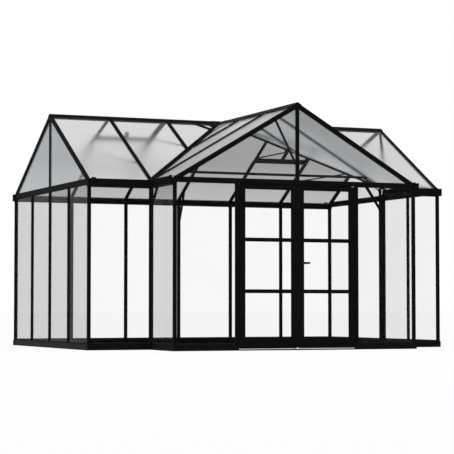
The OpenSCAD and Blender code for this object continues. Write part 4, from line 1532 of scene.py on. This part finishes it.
@dataclass
class GutterFittings:
    """Straps across the gutters, rims round their ends, and lugs at the feet of the gable bars."""

    finishes: Finishes
    over: float = 0.030
    outer: float = 0.062
    rail: float = 0.018
    low: float = 1.828
    top: float = 1.916
    sink: float = 0.0005
    strap: Section = Section(0.016, 0.003, 0.0006)
    strap_shares: tuple[float, ...] = (0.2, 0.5, 0.8)
    strap_in: float = 0.0025
    strap_lap: float = 0.002
    leg_in: float = 0.003
    leg_foot: float = 1.878
    strap_screw: float = 0.012
    strap_screw_r: float = 0.0035
    rim: float = 0.006
    rim_set: float = 0.0031
    rim_back: float = 0.009
    rim_edge: float = 0.001
    lug_x: float = 2.178
    lug_in: float = 0.042
    lug_w: float = 0.052
    # Each part of a lug: its distance out from the wall line, its height and its section.
    lug_parts: tuple[tuple[float, float, Section], ...] = (
        (0.033, 1.8830, Section(0.050, 0.006, 0.0012)), (0.038, 1.9065, Section(0.010, 0.049, 0.0030, 2)),
    )
    lug_screw: Point = (0.014, 0.043, 1.922)
    lug_screw_r: float = 0.0032

    def build(self) -> None:
        """Builds the straps, rims, lugs and their screws."""
        straps, rims, heads = Shaper(), Shaper(), Shaper()
        for run in self._runs():
            for share in self.strap_shares:
                self._strap(straps, heads, run.start + run.along * run.length * share, run)
            for end in run.ends:
                inward = run.along if end == 0.0 else -run.along
                self._rim(rims, run.start + run.along * end, inward, run.out)
        straps.finish("gutter_straps", self.finishes.coat)
        rims.finish("gutter_end_rims", self.finishes.coat)
        heads.finish("gutter_screws", self.finishes.screw)
        self._lugs()

    def _runs(self) -> list[GutterRun]:
        """Lists the gutters.

        Returns:
            The back gutter, then the two of either half.
        """
        p, full = PLAN, 2 * (PLAN.half_len + self.over)
        back = X_WAY * (-p.half_len - self.over) + Y_WAY * p.y_back
        runs = [GutterRun(back, X_WAY, Y_WAY, full, (0.0, full))]
        for side in Side:
            out = X_WAY * side.value
            house = out * (p.half_len + self.over) + Y_WAY * p.y_front
            wing = out * p.half_span + Y_WAY * (p.y_wing - self.over)
            runs += [GutterRun(house, -out, -Y_WAY, p.bay), GutterRun(wing, Y_WAY, out, p.bay)]
        return runs

    def _strap(self, straps: Shaper, heads: Shaper, place: Vector, run: GutterRun) -> None:
        """Bridges the trough at one place and screws the strap to the rail.

        Args:
            straps: Mesh of the straps.
            heads: Mesh of the screws.
            place: Point on the wall line.
            run: The gutter.
        """
        level = Z_WAY * (self.top - self.strap.thick / 2 - self.sink)
        outer, inner = run.out * (self.outer - self.strap_in), run.out * (self.rail - self.strap_lap)
        straps.strip(place + outer + level, place + inner + level, run.along, Z_WAY, self.strap)
        leg = place + run.out * (self.rail - self.leg_in)
        straps.strip(leg + Z_WAY * self.leg_foot, leg + level, run.along, run.out, self.strap)
        seat = place + run.out * (self.outer - self.strap_screw) + Z_WAY * (self.top - self.sink)
        heads.screw(seat, Z_WAY, self.strap_screw_r)

    def _rim(self, rims: Shaper, place: Vector, along: Vector, out: Vector) -> None:
        """Adds a raised rim on the flat end of a gutter, inside the gutter's own length.

        Args:
            rims: Mesh of the rims.
            place: Point on the wall line at the end.
            along: Way into the gutter.
            out: Outer side of the gutter.
        """
        thick, half = along * self.rim, self.rim / 2
        face = place + along * self.rim_set
        wide, tall = self.outer + self.rim_back, self.top - self.low
        middle = face + out * (self.outer - wide / 2)
        for height in (self.low + half, self.top - half):
            rims.block(middle + Z_WAY * height, thick, out * wide, Z_WAY * self.rim, self.rim_edge)
        for away in (self.outer - half, half - self.rim_back):
            centre = face + out * away + Z_WAY * (self.low + self.top) / 2
            rims.block(centre, thick, out * self.rim, Z_WAY * tall, self.rim_edge)

    def _lugs(self) -> None:
        """Stands a small bracket on the gutter beside the foot of each gable bar."""
        p, shaper, heads = PLAN, Shaper(), Shaper()
        places: list[tuple[Vector, Vector, Vector]] = []
        for side in Side:
            s = side.value
            for y, out in ((p.y_front, -Y_WAY), (p.y_back, Y_WAY)):
                places.append((Vector((s * self.lug_x, y, 0.0)), X_WAY, out))
            places.append((Vector((s * p.half_span, p.y_wing + self.lug_in, 0.0)), Y_WAY, X_WAY * s))
        run, screw_away, screw_z = self.lug_screw
        for place, along, out in places:
            half = along * (self.lug_w / 2)
            for away, height, section in self.lug_parts:
                centre = place + out * away + Z_WAY * height
                shaper.strip(centre - half, centre + half, out, Z_WAY, section)
            for hand in BOTH:
                seat = place + along * (hand * run) + out * screw_away + Z_WAY * screw_z
                heads.screw(seat, out, self.lug_screw_r)
        shaper.finish("gable_foot_lugs", self.finishes.coat)
        heads.finish("gable_foot_screws", self.finishes.screw)


@dataclass
class BaseCorners:
    """End plates and corner covers of the base rails, and the anchor bolts in their feet."""

    finishes: Finishes
    half_w: float = 0.022
    high: float = 0.070
    lift: float = 0.0005
    door_side: float = 0.018
    sheet: float = 0.004
    sheet_edge: float = 0.0008
    cover: float = 0.085
    skin: float = 0.0022
    skin_edge: float = 0.0006
    screw_rows: tuple[float, ...] = (0.020, 0.050)
    screw_runs: tuple[float, ...] = (0.042, 0.072)
    screw_r: float = 0.0040
    anchor_in: float = 0.004
    anchor_seat: float = 0.0042
    anchor_size: float = 0.008
    anchor_bays: tuple[float, ...] = (1.11, 1.85)
    anchor_ends: tuple[float, ...] = (0.0, 0.74)
    anchor_wing: float = -1.48

    def build(self) -> None:
        """Closes the open rail ends, covers the corners and sets the anchors."""
        p, shaper, heads = PLAN, Shaper(), Shaper()
        for side in Side:
            s = side.value
            for x, y in ((p.half_len, p.y_front), (p.half_len, p.y_back), (p.half_span, p.y_wing)):
                self._plate(shaper, s * (x + self.half_w), y, -s)
                self._cover(shaper, heads, Vector((s * x, y, 0.0)), s, 1 if y > 0 else -1)
            self._plate(shaper, s * (p.half_span - self.half_w), p.y_front, s)
            self._plate(shaper, s * (p.bay - self.door_side), p.y_wing, s)
        shaper.finish("base_corner_covers", self.finishes.base_coat)
        self._anchors(heads)
        heads.finish("base_anchor_bolts", self.finishes.screw)

    def _plate(self, shaper: Shaper, x: float, y: float, inward: int) -> None:
        """Closes one open end, at a place in plan, of a rail that runs along X."""
        centre = Vector((x + inward * self.sheet / 2, y, (self.lift + self.high) / 2))
        shaper.upright(centre, (self.sheet, 2 * self.half_w, self.high - self.lift), self.sheet_edge)

    def _cover(self, shaper: Shaper, heads: Shaper, corner: Vector, side: int, out: int) -> None:
        """Folds a thin cover round one outer corner, with screws on either leg.

        Args:
            shaper: Mesh of the covers.
            heads: Mesh of the screws.
            corner: Meeting point of the rails' middle lines.
            side: Sign of X on the corner's outer side.
            out: Sign of Y on the corner's outer side.
        """
        half, skin = self.half_w, self.skin
        face_x, face_y = corner.x + side * (half + skin / 2), corner.y + out * (half + skin / 2)
        back = half + skin - self.cover / 2
        middle, tall = self.high / 2 + self.lift, self.high - 2 * self.lift
        centre = Vector((face_x, corner.y + out * back, middle))
        shaper.upright(centre, (skin, self.cover, tall), self.skin_edge)
        centre = Vector((corner.x + side * back, face_y, middle))
        shaper.upright(centre, (self.cover, skin, tall), self.skin_edge)
        for height in self.screw_rows:
            for run in self.screw_runs:
                seat = Vector((face_x + side * skin / 2, corner.y + out * (half - run), height))
                heads.screw(seat, X_WAY * side, self.screw_r)
                seat = Vector((corner.x + side * (half - run), face_y + out * skin / 2, height))
                heads.screw(seat, Y_WAY * out, self.screw_r)

    def _anchors(self, heads: Shaper) -> None:
        """Puts an anchor bolt in every hole of the rails' feet.

        Args:
            heads: Mesh of the bolts.
        """
        p, inset = PLAN, self.anchor_in
        first, last = self.anchor_bays
        for side in Side:
            places = [(first, p.y_back - inset)]
            places += [(p.half_len - inset, y) for y in self.anchor_ends]
            places += [(p.half_span - inset, self.anchor_wing), (last, p.y_front + inset)]
            places.append((first, p.y_wing + inset))
            for x, y in places:
                heads.bolt(Vector((side.value * x, y, self.anchor_seat)), Z_WAY, self.anchor_size)


# ---------------------------------------------------------------- doors


@dataclass(frozen=True)
class LeafOpening:
    """One pane's opening in a leaf: its foot and head heights, and the beads at both."""

    low: float
    high: float
    foot: float
    head: float


@dataclass
class DoorTrim:
    """Beads, seals and small fixings of one leaf."""

    finishes: Finishes
    side: Side
    openings: tuple[LeafOpening, ...] = (
        LeafOpening(0.125, 0.643, 0.005, 0.0075), LeafOpening(0.671, 1.218, 0.0075, 0.0075),
        LeafOpening(1.246, 1.804, 0.0075, 0.010),
    )
    inner: float = 0.074
    outer: float = 0.646
    proud: float = 0.011
    bead: float = 0.003
    bead_edge: float = 0.0012
    rail_edge: float = 0.0018
    lip: Section = Section(0.0026, 0.006, 0.0008)
    lip_rows: tuple[float, ...] = (-0.011, 0.009)
    brush: Section = Section(0.011, 0.010, 0.0015)
    brush_drop: float = 0.0045
    end_gap: float = 0.006
    hinge_rows: tuple[float, ...] = (0.218, 0.9385, 1.659)
    hinge_lifts: tuple[float, ...] = (-0.026, 0.0, 0.026)
    hinge_y: float = -1.8700
    leaf_screw_x: float = 0.6985
    post_screw_x: float = 0.7400
    screw_r: float = 0.0038

    @property
    def body(self) -> Body:
        """Body of this leaf."""
        return Body.LEFT_LEAF if self.side is Side.LEFT else Body.RIGHT_LEAF

    @property
    def label(self) -> str:
        """Start of this leaf's piece names."""
        return "left" if self.side is Side.LEFT else "right"

    def build(self) -> None:
        """Builds the beads, the seals and the hinge screws."""
        self._beads()
        self._seals()
        self._hinge_screws()

    def _at(self, x: float, y: float, z: float) -> Vector:
        """Puts a point given for the right leaf on this leaf."""
        return Vector((x * self.side.value, y, z))

    def _beads(self) -> None:
        """Frames every pane on both faces."""
        shaper = Shaper()
        upright = Section(self.bead, self.proud, self.bead_edge)
        for opening in self.openings:
            low, high = opening.low, opening.high
            rows = (low + opening.foot / 2, opening.foot), (high - opening.head / 2, opening.head)
            for face in BOTH:
                y = PLAN.y_wing + face * (PLAN.pane_t / 2 + self.proud / 2)
                for x in (self.inner + self.bead / 2, self.outer - self.bead / 2):
                    shaper.strip(self._at(x, y, low), self._at(x, y, high), X_WAY, Y_WAY, upright)
                for z, tall in rows:
                    rail = Section(tall, self.proud, self.rail_edge)
                    shaper.strip(self._at(self.inner, y, z), self._at(self.outer, y, z), Z_WAY, Y_WAY, rail)
        shaper.finish(f"{self.label}_door_beads", self.finishes.coat, self.body)

    def _seals(self) -> None:
        """Runs a lip down the meeting edge and a brush along the foot."""
        shaper = Shaper()
        p, gap, edge = PLAN, self.end_gap, PLAN.meet_gap / 2
        x = edge - self.lip.wide / 2
        for row in self.lip_rows:
            ends = (self._at(x, p.y_wing + row, z) for z in (p.leaf_low + gap, p.leaf_high - gap))
            shaper.strip(*ends, X_WAY, Y_WAY, self.lip)
        foot = p.leaf_low - self.brush_drop
        ends = (self._at(x, p.y_wing, foot) for x in (edge + gap, p.leaf_edge - gap))
        shaper.strip(*ends, Y_WAY, Z_WAY, self.brush)
        shaper.finish(f"{self.label}_door_seals", self.finishes.seal, self.body)

    def _hinge_screws(self) -> None:
        """Screws the hinge plates to the leaf and to the door post."""
        leaf, post = Shaper(), Shaper()
        for row in self.hinge_rows:
            for lift in self.hinge_lifts:
                for heads, x in ((leaf, self.leaf_screw_x), (post, self.post_screw_x)):
                    heads.screw(self._at(x, self.hinge_y, row + lift), -Y_WAY, self.screw_r)
        leaf.finish(f"{self.label}_leaf_screws", self.finishes.screw, self.body)
        post.finish(f"{self.label}_post_screws", self.finishes.screw)


@dataclass(frozen=True)
class Turned:
    """A turned length of the lever: where it starts and ends out from the rose, and its form."""

    low: float
    high: float
    radius: float
    sides: int
    edge: float


@dataclass
class LeverHandle:
    """Lever on either face of the right leaf, with a tapered grip that turns back at its end."""

    finishes: Finishes
    spindle: Point = (0.039, -1.85, 0.976)
    spindle_r: float = 0.0065
    spindle_sides: int = 16
    face: float = 0.017
    reach: float = 0.045
    turned: tuple[Turned, ...] = (
        Turned(-0.001, 0.041, 0.0068, 20, 0.001), Turned(0.0085, 0.0125, 0.0105, 20, 0.0012),
        Turned(0.034, 0.045, 0.0112, 24, 0.0020),
    )
    grip: Point = (0.092, 0.011, 0.0245)
    grip_edge: float = 0.0036
    grip_steps: int = 3
    taper: Point = (1.0, 0.86, 0.90)
    tip_len: float = 0.013
    tip_t: float = 0.018
    tip_share: float = 0.68
    tip_back: float = 0.017
    tip_in: float = 0.0075
    tip_edge: float = 0.0032
    rose_t: float = 0.008
    rose_screw: float = 0.0145
    rose_screw_r: float = 0.0026

    def build(self) -> None:
        """Builds both levers as one piece, and the screws of their roses."""
        shaper, heads = Shaper(), Shaper()
        middle = Vector(self.spindle)
        for hand in BOTH:
            out = Y_WAY * hand
            self._lever(shaper, middle, out)
            for rise in (-self.rose_screw, self.rose_screw):
                seat = middle + out * (self.face + self.rose_t) + Z_WAY * rise
                heads.screw(seat, out, self.rose_screw_r)
        half = Y_WAY * self.face
        shaper.rod(middle - half, middle + half, self.spindle_r, self.spindle_sides)
        lever = shaper.finish("door_lever", self.finishes.lever, Body.LEVER)
        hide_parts("door_handle")
        heads.finish("handle_rose_screws", self.finishes.screw, Body.RIGHT_LEAF)

    def _lever(self, shaper: Shaper, middle: Vector, out: Vector) -> None:
        """Adds the neck, the collar and the grip of one face.

        Args:
            shaper: Mesh of the lever.
            middle: Middle of the spindle.
            out: Way out of the face.
        """
        root = middle + out * self.face
        for part in self.turned:
            shaper.rod(root + out * part.low, root + out * part.high, part.radius, part.sides, part.edge)
        before = set(shaper.bm.verts)
        length, thick, tall = self.grip
        centre = root + out * (self.reach - thick / 2) + X_WAY * (length / 2)
        shaper.upright(centre, self.grip, self.grip_edge, self.grip_steps)
        far = [v for v in shaper.bm.verts if v not in before and v.co.x > centre.x]
        bmesh.ops.scale(shaper.bm, vec=self.taper, space=Matrix.Translation(-centre), verts=far)
        tip = root + out * (self.reach - self.tip_back) + X_WAY * (length - self.tip_in)
        tip_size = self.tip_len, self.tip_t, tall * self.tip_share
        shaper.upright(tip, tip_size, self.tip_edge, self.grip_steps)


@dataclass
class DoorFurniture:
    """Fixings of the drop bolt, ribs of the threshold and the stop under the header."""

    finishes: Finishes
    bolt_x: float = -0.0273
    bolt_screw: float = 0.0085
    bolt_screw_r: float = 0.0024
    plate_face: float = -1.831
    rows: tuple[float, ...] = (0.060, 0.206)
    rib: Section = Section(0.0030, 0.0018, 0.0006)
    rib_half: float = 0.715
    rib_y: tuple[float, ...] = (-1.875, -1.866, -1.857, -1.848, -1.839, -1.830)
    rib_z: float = 0.0124
    stop: Section = Section(0.004, 0.022, 0.0010)
    stop_half: float = 0.690
    stop_gap: float = 0.0035
    stop_drop: float = 0.004

    def build(self) -> None:
        """Builds the bolt's screws, the ribs underfoot and the stop that the leaves close against."""
        heads, ribs, stop = Shaper(), Shaper(), Shaper()
        for row in self.rows:
            for hand in BOTH:
                seat = Vector((self.bolt_x + hand * self.bolt_screw, self.plate_face, row))
                heads.screw(seat, Y_WAY, self.bolt_screw_r)
        heads.finish("drop_bolt_screws", self.finishes.screw, Body.LEFT_LEAF)
        for y in self.rib_y:
            ends = (Vector((hand * self.rib_half, y, self.rib_z)) for hand in BOTH)
            ribs.strip(*ends, Y_WAY, Z_WAY, self.rib)
        ribs.finish("threshold_ribs", self.finishes.base_coat)
        back = PLAN.y_wing + PLAN.leaf_t / 2 + self.stop_gap
        ends = (Vector((hand * self.stop_half, back, PLAN.tie_z - self.stop_drop)) for hand in BOTH)
        stop.strip(*ends, Y_WAY, Z_WAY, self.stop)
        stop.finish("door_head_stop", self.finishes.seal)


# ---------------------------------------------------------------- vents and ties


@dataclass(frozen=True)
class SillLiner:
    """A strip on a vent's sill: how far below the sill's middle, how far out, and its section."""

    below: float
    lift: float
    section: Section


@dataclass
class VentFittings:
    """Sill liners, hinge strips and opener fixings of the two roof vents."""

    finishes: Finishes
    sill: float = 0.9517
    half_bay: float = 0.356
    middle_bay: float = 1.5
    liners: tuple[SillLiner, ...] = (
        SillLiner(0.006, -0.0155, Section(0.046, 0.015, 0.0025, 2)),
        SillLiner(0.017, 0.0145, Section(0.016, 0.006, 0.0015)),
    )
    hinge: float = 1.650
    hinge_in: float = 0.06
    hinge_half: float = 0.03
    pin_up: float = 0.012
    pin_lift: float = 0.0340
    pin_r: float = 0.0042
    pin_sides: int = 12
    pin_edge: float = 0.0008
    flap: Section = Section(0.034, 0.0024, 0.0006)
    flap_down: float = 0.010
    flap_lift: float = 0.0352
    flap_screw: float = 0.018
    flap_screw_down: float = 0.014
    flap_screw_lift: float = 0.0364
    flap_screw_r: float = 0.0030
    opener_rows: tuple[float, ...] = (0.985, 1.155)
    opener_half: float = 0.020
    opener_lift: float = -0.0125
    opener_bolt: float = 0.0048

    def build(self) -> None:
        """Fits out both vent bays of the rear slope."""
        liners, strips, heads = Shaper(), Shaper(), Shaper()
        slope = back_slope()
        for side in Side:
            middle = side.value * self.middle_bay * PLAN.bay
            low, high = middle - self.half_bay, middle + self.half_bay
            for liner in self.liners:
                slope.level(liners, (low, high), self.sill - liner.below, liner.lift, liner.section)
            for run in (low + self.hinge_in, middle, high - self.hinge_in):
                self._hinge(strips, heads, slope, run)
            for length in self.opener_rows:
                for hand in BOTH:
                    seat = slope.point(middle + hand * self.opener_half, length, self.opener_lift)
                    heads.bolt(seat, slope.along * hand, self.opener_bolt)
        liners.finish("vent_sill_liners", self.finishes.coat)
        strips.finish("vent_hinges", self.finishes.coat)
        heads.finish("vent_screws", self.finishes.screw)

    def _hinge(self, strips: Shaper, heads: Shaper, slope: Slope, run: float) -> None:
        """Adds one hinge with its pin, its flap and its screws.

        Args:
            strips: Mesh of the hinges.
            heads: Mesh of the screws.
            slope: Roof plane of the vent.
            run: Place of the hinge along the eave.
        """
        ends = run - self.hinge_half, run + self.hinge_half
        start, end = (slope.point(place, self.hinge + self.pin_up, self.pin_lift) for place in ends)
        strips.rod(start, end, self.pin_r, self.pin_sides, self.pin_edge)
        slope.level(strips, ends, self.hinge - self.flap_down, self.flap_lift, self.flap)
        for hand in BOTH:
            place = run + hand * self.flap_screw
            seat = slope.point(place, self.hinge - self.flap_screw_down, self.flap_screw_lift)
            heads.screw(seat, slope.out, self.flap_screw_r)


@dataclass(frozen=True)
class RafterTie:
    """A tie between two rafters: its place along the house, its height and its two ends."""

    x: float
    z: float
    ends: tuple[float, float]


@dataclass
class TieFittings:
    """End plates and bolts of the collar tie and the rafter ties, and the sleeve of the strut."""

    finishes: Finishes
    collar_x: float = 1.235
    collar_z: float = 2.026
    collar_half: float = 0.0135
    collar_plate: Point = (0.110, 0.004, 0.026)
    plate_edge: float = 0.0012
    plate_bolts: float = 0.035
    bolt_size: float = 0.005
    ties: tuple[RafterTie, ...] = (
        RafterTie(1.48, 2.147, (-0.651, 1.391)), RafterTie(0.74, 2.408, (-0.208, 0.948)),
    )
    tie_in: float = 0.030
    tie_plate: Point = (0.019, 0.062, 0.018)
    tie_edge: float = 0.0015
    tie_bolt: float = 0.0042
    strut_foot: float = 2.060
    strut_rise: float = 0.0099
    strut_gap: float = 0.022
    sleeve: Section = Section(0.022, 0.020, 0.0022, 2)
    bracket: Point = (0.024, 0.005, 0.110)
    bracket_set: Point = (0.0, 0.0028, -0.030)
    bracket_bolts: tuple[float, ...] = (-0.040, -0.015)

    def build(self) -> None:
        """Puts a plate and bolts at every end of the ties."""
        plates, heads = Shaper(), Shaper()
        for side in Side:
            self._collar_end(plates, heads, side)
            for tie in self.ties:
                self._tie_ends(plates, heads, side, tie)
        self._strut(plates, heads)
        plates.finish("tie_end_plates", self.finishes.coat)
        heads.finish("tie_end_bolts", self.finishes.screw)

    def _collar_end(self, plates: Shaper, heads: Shaper, side: Side) -> None:
        """Plates one end of the collar tie on both faces.

        Args:
            plates: Mesh of the plates.
            heads: Mesh of the bolts.
            side: Half of the building.
        """
        for face in BOTH:
            y = PLAN.y_front + face * self.collar_half
            place = Vector((side.value * self.collar_x, y, self.collar_z))
            plates.upright(place, self.collar_plate, self.plate_edge)
            skin = Y_WAY * (face * self.collar_plate[1] / 2)
            for hand in BOTH:
                heads.bolt(place + skin + X_WAY * (hand * self.plate_bolts), Y_WAY * face, self.bolt_size)

    def _tie_ends(self, plates: Shaper, heads: Shaper, side: Side, tie: RafterTie) -> None:
        """Plates both ends of one rafter tie.

        Args:
            plates: Mesh of the plates.
            heads: Mesh of the bolts.
            side: Half of the building.
            tie: The tie.
        """
        for y in tie.ends:
            inward = 1.0 if y < PLAN.y_ridge else -1.0
            place = Vector((side.value * tie.x, y + inward * self.tie_in, tie.z))
            plates.upright(place, self.tie_plate, self.tie_edge)
            for face in BOTH:
                heads.bolt(place + X_WAY * (face * self.tie_plate[0] / 2), X_WAY * face, self.tie_bolt)

    def _strut(self, plates: Shaper, heads: Shaper) -> None:
        """Sleeves the diagonal strut under the wing's ridge and brackets its foot to the mullion.

        Args:
            plates: Mesh of the plates.
            heads: Mesh of the bolts.
        """
        p, climb = PLAN, Y_WAY + Z_WAY
        foot_z = self.strut_foot + self.strut_rise
        foot = Vector((0.0, p.y_wing + (p.bar_out + p.bar_in) / 2, foot_z))
        reach = p.ridge_z - p.ridge_drop - foot_z
        start, end = foot + climb * self.strut_gap, foot + climb * (reach - self.strut_gap)
        plates.strip(start, end, X_WAY, (Z_WAY - Y_WAY).normalized(), self.sleeve)
        place = foot + Vector(self.bracket_set)
        plates.upright(place, self.bracket, self.plate_edge)
        for rise in self.bracket_bolts:
            heads.bolt(place + Y_WAY * (self.bracket[1] / 2) + Z_WAY * rise, Y_WAY, self.bolt_size)


def main() -> None:
    """Builds the studio and every part of the building, in order."""
    logging.basicConfig(level=logging.INFO, format="%(message)s")
    finishes = Finishes()
    Studio().build()
    Carcass(finishes).dress()
    for part in (
        WallSeals, RoofBars, GableSeals, RidgeJunction, RidgeScrews, CornerGussets, GutterFittings,
        BaseCorners, LeverHandle, DoorFurniture, VentFittings, TieFittings,
    ):
        part(finishes).build()
    for side in Side:
        DoorTrim(finishes, side).build()


if __name__ == "__main__":
    main()
